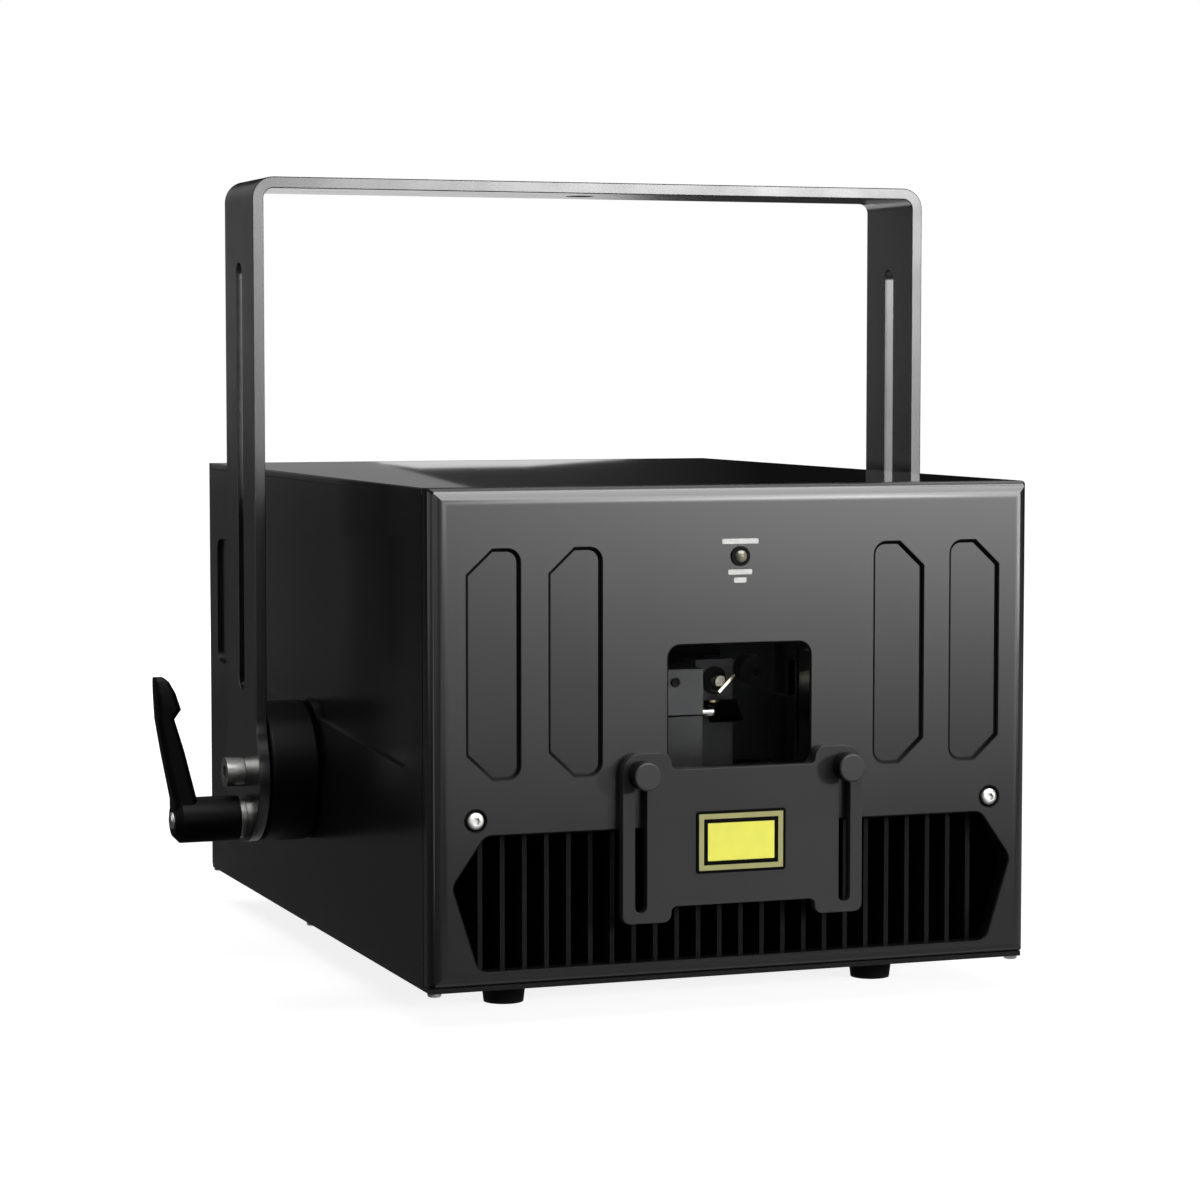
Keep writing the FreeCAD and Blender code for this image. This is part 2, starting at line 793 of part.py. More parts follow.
def aperture_clamp():
    """Frame that presses the glass against its gasket."""
    depth = gasket_thickness + glass_thickness
    grow = glass_overlap + free_clearance
    outer = window_shape(grow + clamp_rim, window_radius, front_back_y, depth + clamp_cover)
    pane = window_shape(grow, window_radius, front_back_y, depth)
    sight = window_shape(gasket_step, window_radius, front_back_y, depth + clamp_cover)
    return outer.cut([pane, sight])


# Mask plate

def mask_plate():
    """Slotted plate with two ears above and two below, lowered clear of the aperture."""
    half = mask_width / 2
    ear = half - mask_ear_width
    high = mask_top_z + mask_ear_rise
    slot_end_z = mask_screw_z - mask_travel - free_clearance
    foot = slot_end_z - mask_slot_radius - mask_web
    low = foot + mask_ear_drop
    right = [
        (ear, low, mask_inner_radius), (ear, foot, mask_foot_radius),
        (half, foot, mask_foot_radius), (half, high, mask_top_radius),
        (ear, high, mask_inner_radius), (ear, mask_top_z, mask_inner_radius / 2)]
    left = [(-a, b, radius) for a, b, radius in reversed(right)]
    right[0] = (ear, low, mask_inner_radius / 2)
    left[-1] = (-ear, low, mask_inner_radius / 2)
    plate = outline(right + left, facing_front(mask_front_y)).extrude(Y * mask_thickness)
    slot_top = mask_screw_z + mask_slot_radius
    slot_low = slot_end_z - mask_slot_radius
    slot_mid = (slot_top + slot_low) / 2
    corners = rounded(mask_screw_x, slot_mid, mask_slot_radius + mask_slot_radius, slot_top - slot_low,
                      mask_slot_radius)
    through = mask_thickness + overrun + overrun
    slot = outline(corners, facing_front(mask_front_y - overrun)).extrude(Y * through)
    return plate.cut(both_sides(slot))


def thumbscrew():
    """Left thumbscrew: a smooth round head on a shank that passes the mask's slot."""
    seat_y = mask_front_y - slide_clearance
    length = mask_thickness + slide_clearance + slide_clearance + front_thickness
    rim = thumb_head_radius - thumb_head_chamfer
    radius = thumb_shank_radius - running_clearance
    profile = [(-thumb_head_height, 0), (-thumb_head_height, rim),
               (thumb_head_chamfer - thumb_head_height, thumb_head_radius),
               (-thumb_head_chamfer, thumb_head_radius), (0, rim), (0, radius),
               (length, radius), (length, 0)]
    return turned(profile, at(-mask_screw_x, seat_y, mask_screw_z), Y)


# Yoke and its pivots

def yoke_leg():
    """Left leg: a flat bar that widens into a round lug about the pivot, with a long slot."""
    half_bar = yoke_bar_width / 2
    reach = hub_radius + yoke_lug_blend
    blend_y = half_bar + yoke_lug_blend
    blend_z = math.sqrt(reach ** 2 - blend_y ** 2)
    touch_y = blend_y * hub_radius / reach
    touch_z = blend_z * hub_radius / reach
    turn = (math.atan2(-blend_z, -blend_y) + 2 * math.pi + math.pi) / 2
    crown_y = blend_y + yoke_lug_blend * math.cos(turn)
    crown_z = blend_z + yoke_lug_blend * math.sin(turn)
    end_z = yoke_rise - yoke_thickness - yoke_bend_radius

    def leg(a, b):
        return at(leg_outer_x, pivot_y + a, bench_mid_z + b)

    edges = [
        Part.LineSegment(leg(-half_bar, end_z), leg(-half_bar, blend_z)).toShape(),
        Part.Arc(leg(-half_bar, blend_z), leg(-crown_y, crown_z), leg(-touch_y, touch_z)).toShape(),
        Part.Arc(leg(-touch_y, touch_z), leg(0, -hub_radius), leg(touch_y, touch_z)).toShape(),
        Part.Arc(leg(touch_y, touch_z), leg(crown_y, crown_z), leg(half_bar, blend_z)).toShape(),
        Part.LineSegment(leg(half_bar, blend_z), leg(half_bar, end_z)).toShape(),
        Part.LineSegment(leg(half_bar, end_z), leg(-half_bar, end_z)).toShape()]
    plate = Part.Face(Part.Wire(edges)).extrude(X * yoke_thickness)
    start_x = leg_outer_x - overrun
    through = yoke_thickness + overrun + overrun
    low = bench_mid_z + hub_radius + yoke_slot_lug_margin
    high = bench_mid_z + yoke_rise - yoke_slot_bar_margin
    corners = rounded(pivot_y, (low + high) / 2, yoke_slot_width, high - low, yoke_slot_width / 2)
    slot = outline(corners, facing_side(start_x)).extrude(X * through)
    pivot_hole = rod(pivot_radius + running_clearance, at(start_x, pivot_y, bench_mid_z), X, through)
    stud_hole = rod(clamp_stud_radius + running_clearance, at(start_x, pivot_y, clamp_z), X, through)
    return plate.cut([slot, pivot_hole, stud_hole])


def yoke():
    """Bent flat bar: a leg on each side and a bridge with a clamp hole."""
    high = bench_mid_z + yoke_rise
    low = high - yoke_thickness - yoke_bend_radius
    outer = -leg_outer_x
    inner = -leg_inner_x
    bend = yoke_bend_radius + yoke_thickness
    corners = [(-outer, low, 0), (-inner, low, 0), (-inner, high - yoke_thickness, yoke_bend_radius),
               (inner, high - yoke_thickness, yoke_bend_radius), (inner, low, 0), (outer, low, 0),
               (outer, high, bend), (-outer, high, bend)]
    face = outline(corners, facing_front(pivot_y - yoke_bar_width / 2))
    bridge = face.extrude(Y * yoke_bar_width)
    hole_start = at(0, pivot_y, high - yoke_thickness - overrun)
    hole = rod(yoke_hole_radius, hole_start, Z, yoke_thickness + overrun + overrun)
    return joined([bridge] + both_sides(yoke_leg())).cut(hole)


def pivot_hub():
    """Left hub: a thick chamfered disc with a ring-shaped T-slot for the clamp nut."""
    length = -half_width - hub_face_x
    bore = pivot_radius + free_clearance
    profile = [(0, bore), (0, hub_radius - hub_chamfer), (hub_chamfer, hub_radius),
               (length - hub_chamfer, hub_radius), (length, hub_radius - hub_chamfer), (length, bore)]
    face = at(hub_face_x, pivot_y, bench_mid_z)
    disc = turned(profile, face, X)
    neck = clamp_stud_radius + free_clearance
    wide = clamp_nut_radius + free_clearance
    room = clamp_nut_thickness + free_clearance + free_clearance
    neck_ring = ring_groove(clamp_offset - neck, clamp_offset + neck, face, X, clamp_neck_depth)
    nut_ring = ring_groove(clamp_offset - wide, clamp_offset + wide, face + X * clamp_neck_depth, X, room)
    return disc.cut([neck_ring, nut_ring])


def pivot_bolt():
    """Left pivot screw: a socket head that bears on the lug, threaded into the bench."""
    length = yoke_thickness + yoke_gap + panel_thickness + pivot_grip + seat_clearance
    profile = [(-pivot_head_height, 0), (-pivot_head_height, pivot_head_radius), (0, pivot_head_radius),
               (0, pivot_radius), (length, pivot_radius), (length, 0)]
    seat = at(leg_outer_x - seat_clearance, pivot_y, bench_mid_z)
    depth = pivot_head_height / 2
    key = hex_key(pivot_head_radius * socket_key_share, seat - X * pivot_head_height, X, depth)
    return turned(profile, seat, X).cut(key)


def clamp_nut():
    """Left round nut that runs in the hub's ring slot."""
    start = at(hub_face_x + clamp_neck_depth + free_clearance, pivot_y, clamp_z)
    bore = clamp_stud_radius + running_clearance
    return rod(clamp_nut_radius, start, X, clamp_nut_thickness).cut(rod(bore, start, X, clamp_nut_thickness))


def clamp_insert():
    """Left lever insert: a stud, a flange that presses on the lug and a boss inside the handle."""
    reach = yoke_thickness + slide_clearance + clamp_neck_depth + free_clearance + clamp_nut_thickness
    flange = clamp_flange_thickness
    tip = flange + clamp_boss_length
    thread = lever_screw_radius + seat_clearance
    profile = [(-reach, 0), (-reach, clamp_stud_radius), (0, clamp_stud_radius), (0, clamp_flange_radius),
               (flange, clamp_flange_radius), (flange, clamp_boss_radius), (tip, clamp_boss_radius),
               (tip, thread), (flange, thread), (flange, 0)]
    return turned(profile, at(clamp_seat_x, pivot_y, clamp_z), -X)


def lever_handle():
    """Left handle: a hollow hub and a leaning arm lofted through rounded sections."""
    near = clamp_flange_thickness + slide_clearance
    far = lever_end_reach
    bore = clamp_boss_radius + free_clearance
    shank = lever_screw_radius + free_clearance
    head = lever_screw_head_radius + free_clearance
    seat = at(clamp_seat_x, pivot_y, clamp_z)
    core = turned([(near, 0), (near, lever_hub_radius), (far - lever_hub_chamfer, lever_hub_radius),
                   (far, lever_hub_radius - lever_hub_chamfer), (far, 0)], seat, -X)
    hollow = turned([(near - overrun, 0), (near - overrun, bore), (lever_floor_reach, bore),
                     (lever_floor_reach, shank), (lever_web_reach, shank), (lever_web_reach, head),
                     (far + overrun, head), (far + overrun, 0)], seat, -X)
    middle = far - lever_arm_thickness / 2
    sections = []
    for height, lean, thick, wide in lever_section_shares:
        a = clamp_seat_x - middle - lean * lever_lean
        thickness = thick * lever_arm_thickness
        corner = lever_corner_share * thickness
        corners = rounded(a, pivot_y, thickness, wide * lever_arm_width, corner)
        sections.append(outline(corners, facing_up(clamp_z + height * lever_reach)).OuterWire)
    arm = Part.makeLoft(sections, True, True)
    return joined([core, arm]).cut(hollow)


def lever_screw():
    """Left retaining screw, seated in the insert and seen at the hub's outer end."""
    seat = at(clamp_seat_x - lever_head_reach, pivot_y, clamp_z)
    length = lever_head_reach - clamp_flange_thickness - seat_clearance
    return screw(lever_screw_head_radius, lever_screw_head_height, lever_screw_radius, length, seat, X)


# Scanner

def tilt_tower():
    """Lower half of the clamp block that holds the tilt motor."""
    half = tilt_tower_depth / 2
    high = tilt_z - tilt_cap_slit / 2
    tower = block((tower_left_x, tower_right_x), (scan_y - half, scan_y + half), (bench_top_z, high))
    return tower.cut(rod(scan_motor_radius, at(tower_left_x, scan_y, tilt_z), X, tilt_tower_width))


def tilt_cap():
    """Upper half of the clamp block."""
    half = tilt_tower_depth / 2
    low = tilt_z + tilt_cap_slit / 2
    high = tilt_z + tilt_cap_height
    cap = block((tower_left_x, tower_right_x), (scan_y - half, scan_y + half), (low, high))
    return cap.cut(rod(scan_motor_radius, at(tower_left_x, scan_y, tilt_z), X, tilt_tower_width))


def pan_tower():
    """Tower behind the mirrors that holds the pan motor."""
    half = pan_tower_width / 2
    tower = block((scan_offset - half, scan_offset + half), (pan_tower_y, pan_tower_y + pan_tower_depth),
                  (bench_top_z, pan_z + pan_tower_head))
    return tower.cut(rod(scan_motor_radius, at(scan_offset, pan_tower_y, pan_z), Y, pan_tower_depth))


def scan_motor(start, direction, length):
    """Motor body with a bearing hole at its far end."""
    bore = scan_shaft_radius + running_clearance
    stop = length - scan_bearing_depth
    profile = [(0, 0), (0, scan_motor_radius), (length, scan_motor_radius),
               (length, bore), (stop, bore), (stop, 0)]
    return turned(profile, start, direction)


def tilt_motor():
    """Motor that lies across the bench and swings the lower mirror."""
    start = at(tower_left_x - scan_motor_overhang, scan_y, tilt_z)
    return scan_motor(start, X, tilt_tower_width + scan_motor_overhang)


def pan_motor():
    """Motor that lies along the bench and swings the upper mirror."""
    return scan_motor(at(scan_offset, pan_motor_y, pan_z), -Y, pan_tower_depth + scan_motor_overhang)


def tilted_plate(middle, turn, x_size, y_size, z_size):
    """A flat plate turned about its middle point."""
    plate = Part.makeBox(x_size, y_size, z_size, at(-x_size / 2, -y_size / 2, -z_size / 2))
    plate.Placement = FreeCAD.Placement(middle, turn)
    return plate


def tilt_mirror_plate(grow):
    """Lower mirror, which sends the beam out through the aperture; grown for its seat."""
    turn = FreeCAD.Rotation(X, mirror_angle)
    thickness = mirror_thickness + grow + grow
    middle = at(scan_offset, scan_y, tilt_z)
    return tilted_plate(middle, turn, tilt_mirror_length, tilt_mirror_width, thickness)


def pan_mirror_plate(grow):
    """Upper mirror, which sends the beam down to the lower one; grown for its seat."""
    turn = FreeCAD.Rotation(Y, -mirror_angle)
    thickness = mirror_thickness + grow + grow
    middle = at(scan_offset, scan_y, pan_z)
    return tilted_plate(middle, turn, pan_mirror_width, pan_mirror_length, thickness)


def mirror_shaft(middle, direction, half_mirror, bearing, seat):
    """Motor shaft with a slotted clamp that grips the mirror's edge."""
    clamp_start = middle - direction * (half_mirror + mirror_clamp_length / 2)
    clamp = rod(mirror_clamp_radius, clamp_start, direction, mirror_clamp_length)
    length = (clamp_start - bearing).dot(direction)
    shaft = rod(scan_shaft_radius, bearing, direction, length)
    return joined([clamp, shaft]).cut(seat)


def tilt_shaft():
    """Shaft of the tilt motor."""
    bearing = at(tower_right_x - scan_bearing_depth + slide_clearance, scan_y, tilt_z)
    return mirror_shaft(at(scan_offset, scan_y, tilt_z), X, tilt_mirror_length / 2, bearing,
                        tilt_mirror_plate(running_clearance))


def pan_shaft():
    """Shaft of the pan motor."""
    bearing = at(scan_offset, pan_tower_y + scan_bearing_depth - slide_clearance, pan_z)
    return mirror_shaft(at(scan_offset, scan_y, pan_z), -Y, pan_mirror_length / 2, bearing,
                        pan_mirror_plate(running_clearance))


# Lasers and combining mirrors

def laser_x(index):
    """Middle of a laser module, counted from the right side panel inwards."""
    return laser_outer_x - index * laser_pitch


def laser_module(index):
    """Laser module: a rounded block with a lens barrel that looks at its combining mirror."""
    x = laser_x(index)
    front = laser_front_y
    corners = rounded(x, bench_top_z + laser_height / 2, laser_width, laser_height, laser_edge_radius)
    body = outline(corners, facing_front(front)).extrude(Y * laser_length)
    tip = at(x, front - laser_barrel_length, pan_z)
    barrel = rod(laser_barrel_radius, tip, Y, laser_barrel_length + overrun)
    lens = rod(laser_lens_radius, tip, Y, laser_barrel_length)
    return joined([body, barrel]).cut(lens)


def combiner_plate(index, grow):
    """A combining mirror, set at an angle to the beam; grown by a clearance for its seat."""
    thickness = combiner_thickness + grow + grow
    turn = FreeCAD.Rotation(Z, mirror_angle)
    return tilted_plate(at(laser_x(index), scan_y, pan_z), turn, combiner_size, thickness, combiner_size)


def combiner_mount(index):
    """Post with a slanting seat for a combining mirror."""
    half = combiner_mount_width / 2
    x = laser_x(index)
    high = pan_z - combiner_size / 2 + combiner_seat_depth
    post = block((x - half, x + half), (scan_y - half, scan_y + half), (bench_top_z, high))
    return post.cut(combiner_plate(index, seat_clearance))


# Power supply and boards

def power_supply():
    """Closed supply with a stepped terminal end."""
    left = -inner_half + supply_side_gap
    right = left + supply_width
    high = bench_top_z + supply_height
    step = supply_front_y + supply_terminal_length
    ledge = high - supply_terminal_drop
    corners = [(supply_front_y, bench_top_z), (supply_rear_y, bench_top_z), (supply_rear_y, high),
               (step, high), (step, ledge), (supply_front_y, ledge)]
    return outline([(a, b, 0) for a, b in corners], facing_side(left)).extrude(X * (right - left))


def board_layout():
    """Left edge, front edge, width, length and seat height of each circuit board."""
    left = -inner_half + supply_side_gap
    right = inner_half - supply_side_gap
    supply_top = bench_top_z + supply_height
    scan_near = scan_y + tilt_tower_depth / 2 + scan_board_gap
    laser_near = laser_rear_y + laser_board_gap
    control_near = supply_front_y + supply_terminal_length
    laser_left = right - laser_board_width
    return {
        "scan_driver_board": (left, scan_near, scan_board_width, scan_board_length, bench_top_z),
        "laser_driver_board": (laser_left, laser_near, laser_board_width, laser_board_length, bench_top_z),
        "control_board": (left, control_near, control_board_width, control_board_length, supply_top)}


def circuit_board(left, near, width, length, seat):
    """A board with a row of upright components along its middle."""
    low = seat + standoff_height
    high = low + board_thickness
    sheet = block((left, left + width), (near, near + length), (low, high))
    wide = width * component_share / 2
    middle = left + width / 2
    far = near + length
    chip_far = far - standoff_inset - standoff_radius
    chip_near = near + standoff_inset + standoff_radius
    chips = block((middle - wide, middle + wide), (chip_near, chip_far), (high, high + component_height))
    return joined([sheet, chips])


def standoffs():
    """Round posts under the corners of every board."""
    posts = []
    for left, near, width, length, seat in board_layout().values():
        for x in (left + standoff_inset, left + width - standoff_inset):
            for y in (near + standoff_inset, near + length - standoff_inset):
                posts.append(rod(standoff_radius, at(x, y, seat), Z, standoff_height))
    return posts


# Fans

def fan_frame(middle_x):
    """Square fan frame with a round duct, struts and a motor seat with a spindle."""
    corners = rounded(middle_x, fan_z, fan_size, fan_size, fan_corner_radius)
    frame = outline(corners, facing_front(fan_y)).extrude(Y * fan_depth)
    duct_start = at(middle_x, fan_y - overrun, fan_z)
    frame = frame.cut(rod(fan_bore_radius, duct_start, Y, fan_depth + overrun + overrun))
    seat = rod(fan_hub_radius, at(middle_x, fan_y, fan_z), Y, fan_motor_length)
    struts = []
    for step in range(3):
        half = fan_strut_width / 2
        reach = fan_bore_radius + overrun
        strut = block((-half, half), (fan_y, fan_y + fan_motor_length), (0, reach))
        strut.rotate(at(0, 0, 0), Y, 120 * step)
        strut.translate(at(middle_x, 0, fan_z))
        struts.append(strut)
    spindle_length = fan_motor_length + fan_blade_gap + fan_hub_length / 2
    spindle = rod(fan_spindle_radius, at(middle_x, fan_y, fan_z), Y, spindle_length)
    return joined([frame, seat, spindle] + struts)


def fan_rotor(middle_x):
    """Fan rotor: a hub that runs on the spindle and twisted blades."""
    start = at(middle_x, fan_y + fan_motor_length + fan_blade_gap, fan_z)
    hub = rod(fan_hub_radius, start, Y, fan_hub_length)
    bore = rod(fan_spindle_radius + running_clearance, start, Y, fan_hub_length / 2 + fan_blade_gap)
    middle = start + Y * (fan_hub_length / 2)
    blades = []
    for step in range(fan_blade_count):
        sections = []
        for radius, angle in ((fan_hub_radius - overrun, fan_blade_root_angle),
                              (fan_bore_radius - fan_blade_gap, fan_blade_tip_angle)):
            a = fan_blade_chord / 2
            b = fan_blade_thickness / 2
            spin = FreeCAD.Rotation(Z, angle)
            signs = ((-1, -1), (1, -1), (1, 1), (-1, 1))
            corners = [spin.multVec(at(s * a, t * b, radius)) for s, t in signs]
            sections.append(Part.makePolygon(corners + corners[:1]))
        blade = Part.makeLoft(sections, True, True)
        blade.rotate(at(0, 0, 0), Y, 360 / fan_blade_count * step)
        blade.translate(middle)
        blades.append(blade)
    return joined([hub] + blades).cut(bore)


# Rear sockets, switch and safety eye

def socket_places():
    """Middle of each flanged socket on the rear face."""
    return {
        "data_socket": (inner_row_x, upper_row_z),
        "network_socket": (rear_row_x, upper_row_z),
        "power_inlet": (-rear_row_x, lower_row_z),
        "power_outlet": (-inner_row_x, lower_row_z),
        "interlock_socket": (inner_row_x, lower_row_z)}


def signal_places():
    """Middle of each signal connector on the rear face."""
    first = signal_side_margin - inner_half
    return [(first, upper_row_z), (first + signal_flange_width + signal_gap, upper_row_z)]


def key_place():
    """Middle of the key switch on the rear face."""
    return rear_row_x, lower_row_z


def socket_body(name):
    """Flange and closed barrel of a rear socket."""
    x, z = socket_places()[name]
    corners = rounded(x, z, socket_flange_width, socket_flange_height, socket_flange_radius)
    flange = outline(corners, facing_front(rear_y)).extrude(Y * socket_flange_thickness)
    barrel = rod(socket_barrel_radius, at(x, rear_y - socket_barrel_length, z), Y, socket_barrel_length)
    return joined([flange, barrel])


def face_point(name, angle):
    """A point on a socket's rear face, on the circle of its contacts."""
    x, z = socket_places()[name]
    turn = math.radians(angle)
    across = socket_pin_circle * math.cos(turn)
    up = socket_pin_circle * math.sin(turn)
    return at(x + across, rear_y + socket_flange_thickness, z + up)


def pin_socket(name):
    """Socket with a round well and three pins at its bottom."""
    x, z = socket_places()[name]
    mouth = at(x, rear_y + socket_flange_thickness, z)
    body = socket_body(name).cut(rod(socket_bore_radius, mouth, -Y, socket_bore_depth))
    depth = Y * (socket_bore_depth + overrun)
    pins = [rod(socket_pin_radius, face_point(name, angle) - depth, Y, socket_pin_length + overrun)
            for angle in (90, 210, 330)]
    return joined([body] + pins)


def hole_socket(name):
    """Socket with a flat face and three narrow contact holes."""
    holes = [rod(socket_hole_radius, face_point(name, angle), -Y, socket_hole_depth)
             for angle in (90, 210, 330)]
    return socket_body(name).cut(holes)


def network_socket():
    """Socket with a square well for a network plug."""
    x, z = socket_places()["network_socket"]
    corners = rounded(x, z, network_bore_width, network_bore_height, 0)
    well = outline(corners, facing_front(rear_y + socket_flange_thickness)).extrude(-Y * socket_bore_depth)
    return socket_body("network_socket").cut(well)


def signal_socket(x, z):
    """Signal connector: a flat flange and a slanted shell with a closed face."""
    corners = rounded(x, z, signal_flange_width, signal_flange_height, signal_shell_radius)
    flange = outline(corners, facing_front(rear_y)).extrude(Y * signal_flange_thickness)
    half = signal_shell_width / 2
    low = half - signal_shell_slant
    high_z = z + signal_shell_height / 2
    low_z = z - signal_shell_height / 2
    shell_corners = [(x - low, low_z), (x + low, low_z), (x + half, high_z), (x - half, high_z)]
    rounded_corners = [(a, b, signal_shell_radius) for a, b in shell_corners]
    face = outline(rounded_corners, facing_front(rear_y - signal_body_depth))
    return joined([flange, face.extrude(Y * (signal_body_depth + signal_shell_rise))])


def key_switch():
    """Key switch body: a flanged sleeve through the rear panel."""
    x, z = key_place()
    bore = key_barrel_radius + running_clearance
    mouth = key_flange_thickness
    floor = mouth - key_barrel_length
    profile = [(-key_body_length, 0), (-key_body_length, key_body_radius), (0, key_body_radius),
               (0, key_flange_radius), (mouth, key_flange_radius), (mouth, bore), (floor, bore), (floor, 0)]
    return turned(profile, at(x, rear_y, z), Y)


def key_blade(grow):
    """The part of the key inside the barrel; grown by a clearance for its slot."""
    x, z = key_place()
    half = key_blade_width / 2 + grow
    flat = key_blade_thickness / 2 + grow
    mouth = rear_y + key_flange_thickness
    along = (mouth - key_barrel_length / 2, mouth + key_neck_length)
    return block((x - flat, x + flat), along, (z - half, z + half))


def key_barrel():
    """Turning barrel of the key switch, slotted for the key."""
    x, z = key_place()
    end = rear_y + key_flange_thickness
    length = key_barrel_length - slide_clearance
    return rod(key_barrel_radius, at(x, end, z), -Y, length).cut(key_blade(seat_clearance))


def key():
    """Flat key with a round bow."""
    x, z = key_place()
    flat = key_blade_thickness / 2
    bow_y = rear_y + key_flange_thickness + key_neck_length + key_bow_radius - overrun
    bow = rod(key_bow_radius, at(x - flat, bow_y, z), X, key_blade_thickness)
    hole = rod(key_bow_hole_radius, at(x - flat, bow_y, z), X, key_blade_thickness)
    return joined([key_blade(0), bow]).cut(hole)


def eye_screw_places():
    """Seats of the safety eye's two screws."""
    x = eye_base_width / 2 - eye_screw_inset
    return [at(side * x, rear_y + eye_base_thickness, lower_row_z) for side in (-1, 1)]


def safety_eye():
    """Safety eye: a base plate with a round-ended tab for a safety wire's hook."""
    corners = rounded(0, lower_row_z, eye_base_width, eye_base_height, eye_base_radius)
    base = outline(corners, facing_front(rear_y)).extrude(Y * eye_base_thickness)
    half = eye_tab_thickness / 2
    eye_y = rear_y + eye_base_thickness + eye_tab_reach
    rise = eye_base_height / 2
    tab = block((-half, half), (rear_y, eye_y), (lower_row_z - rise, lower_row_z + rise))
    end = rod(eye_tab_radius, at(-half, eye_y, lower_row_z), X, eye_tab_thickness)
    behind = block((-half - overrun, half + overrun), (rear_y - eye_tab_radius, rear_y),
                   (lower_row_z - eye_tab_radius, lower_row_z + eye_tab_radius))
    hole = rod(eye_hole_radius, at(-half, eye_y, lower_row_z), X, eye_tab_thickness)
    radius = eye_screw_radius + seat_clearance
    screw_holes = [rod(radius, place, -Y, eye_base_thickness) for place in eye_screw_places()]
    return joined([base, tab, end]).cut([behind, hole] + screw_holes)


def eye_screws():
    """Screws that hold the safety eye to the rear panel."""
    length = eye_base_thickness + rear_thickness
    return [screw(eye_screw_head_radius, eye_screw_head_height, eye_screw_radius, length, place, -Y)
            for place in eye_screw_places()]


def pieces():
    """Every node's name and its solids."""
    left_fan = -fan_spacing / 2
    right_fan = fan_spacing / 2
    nodes = {
        "front_plate": front_plate(), "top_cover": top_cover(), "bottom_cover": bottom_cover(),
        "rear_panel": rear_panel(), "finned_bench": bench(), "rubber_feet": feet(),
        "foot_screws": foot_screws(), "front_screws": front_screws(),
        "cover_screws": bottom_screws() + rear_screws(),
        "lamp_bezel": lamp_bezel(), "lamp_lens": lamp_lens(),
        "aperture_gasket": aperture_gasket(), "aperture_glass": aperture_glass(),
        "aperture_clamp": aperture_clamp(), "mask_plate": mask_plate(), "yoke": yoke(),
        "pivot_hubs": both_sides(pivot_hub()), "pivot_bolts": both_sides(pivot_bolt()),
        "clamp_nuts": both_sides(clamp_nut()),
        "tilt_tower": tilt_tower(), "tilt_cap": tilt_cap(), "pan_tower": pan_tower(),
        "scan_motors": [tilt_motor(), pan_motor()], "tilt_shaft": tilt_shaft(),
        "pan_shaft": pan_shaft(), "tilt_mirror": tilt_mirror_plate(0), "pan_mirror": pan_mirror_plate(0),
        "laser_modules": [laser_module(i) for i in range(3)],
        "combiner_mounts": [combiner_mount(i) for i in range(3)],
        "combiner_mirrors": [combiner_plate(i, 0) for i in range(3)],
        "power_supply": power_supply(), "board_standoffs": standoffs(),
        "fan_frames": [fan_frame(left_fan), fan_frame(right_fan)],
        "fan_rotor_left": fan_rotor(left_fan), "fan_rotor_right": fan_rotor(right_fan),
        "power_inlet": pin_socket("power_inlet"), "power_outlet": hole_socket("power_outlet"),
        "data_socket": pin_socket("data_socket"), "interlock_socket": hole_socket("interlock_socket"),
        "network_socket": network_socket(),
        "signal_sockets": [signal_socket(x, z) for x, z in signal_places()],
        "key_switch": key_switch(), "key_barrel": key_barrel(), "key": key(),
        "safety_eye": safety_eye(), "eye_screws": eye_screws()}
    for name, layout in board_layout().items():
        nodes[name] = circuit_board(*layout)
    sided = {
        "side_panel": side_panel, "thumbscrew": thumbscrew, "clamp_insert": clamp_insert,
        "lever_handle": lever_handle, "lever_screw": lever_screw}
    for name, make in sided.items():
        left, right = both_sides(make())
        nodes[name + "_left"] = left
        nodes[name + "_right"] = right
    return nodes


def main():
    """Writes one file for each node."""
    os.makedirs("parts", exist_ok=True)
    for name, shape in pieces().items():
        solids = shape if isinstance(shape, list) else [shape]
        Part.makeCompound(solids).exportStep(os.path.join("parts", name + ".step"))


main()
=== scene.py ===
"""Looks of a laser show projector: finishes, softened edges, small trim and a plain studio.

Metres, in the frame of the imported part: X to the right as the front is seen, Y to the rear, Z up.
"""
import json
import math

import bmesh
import bpy
import numpy as np
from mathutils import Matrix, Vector

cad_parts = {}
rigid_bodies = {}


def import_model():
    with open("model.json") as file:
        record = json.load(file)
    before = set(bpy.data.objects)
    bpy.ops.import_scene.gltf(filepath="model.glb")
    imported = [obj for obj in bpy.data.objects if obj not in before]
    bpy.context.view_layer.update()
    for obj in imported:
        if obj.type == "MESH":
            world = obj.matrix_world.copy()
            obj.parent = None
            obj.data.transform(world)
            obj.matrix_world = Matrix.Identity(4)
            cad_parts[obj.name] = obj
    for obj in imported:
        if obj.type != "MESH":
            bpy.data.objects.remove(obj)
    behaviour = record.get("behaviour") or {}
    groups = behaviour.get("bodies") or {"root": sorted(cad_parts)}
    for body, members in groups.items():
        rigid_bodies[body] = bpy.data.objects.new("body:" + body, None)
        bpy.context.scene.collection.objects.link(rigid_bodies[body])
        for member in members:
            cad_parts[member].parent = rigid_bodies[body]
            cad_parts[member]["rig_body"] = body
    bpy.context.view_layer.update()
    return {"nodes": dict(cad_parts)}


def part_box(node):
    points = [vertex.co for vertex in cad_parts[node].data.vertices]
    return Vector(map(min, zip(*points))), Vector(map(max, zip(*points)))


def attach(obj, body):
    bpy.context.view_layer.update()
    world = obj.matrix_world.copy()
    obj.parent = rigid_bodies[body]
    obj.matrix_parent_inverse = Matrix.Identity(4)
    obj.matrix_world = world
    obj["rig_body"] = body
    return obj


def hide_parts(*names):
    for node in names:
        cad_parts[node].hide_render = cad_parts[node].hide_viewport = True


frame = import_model()

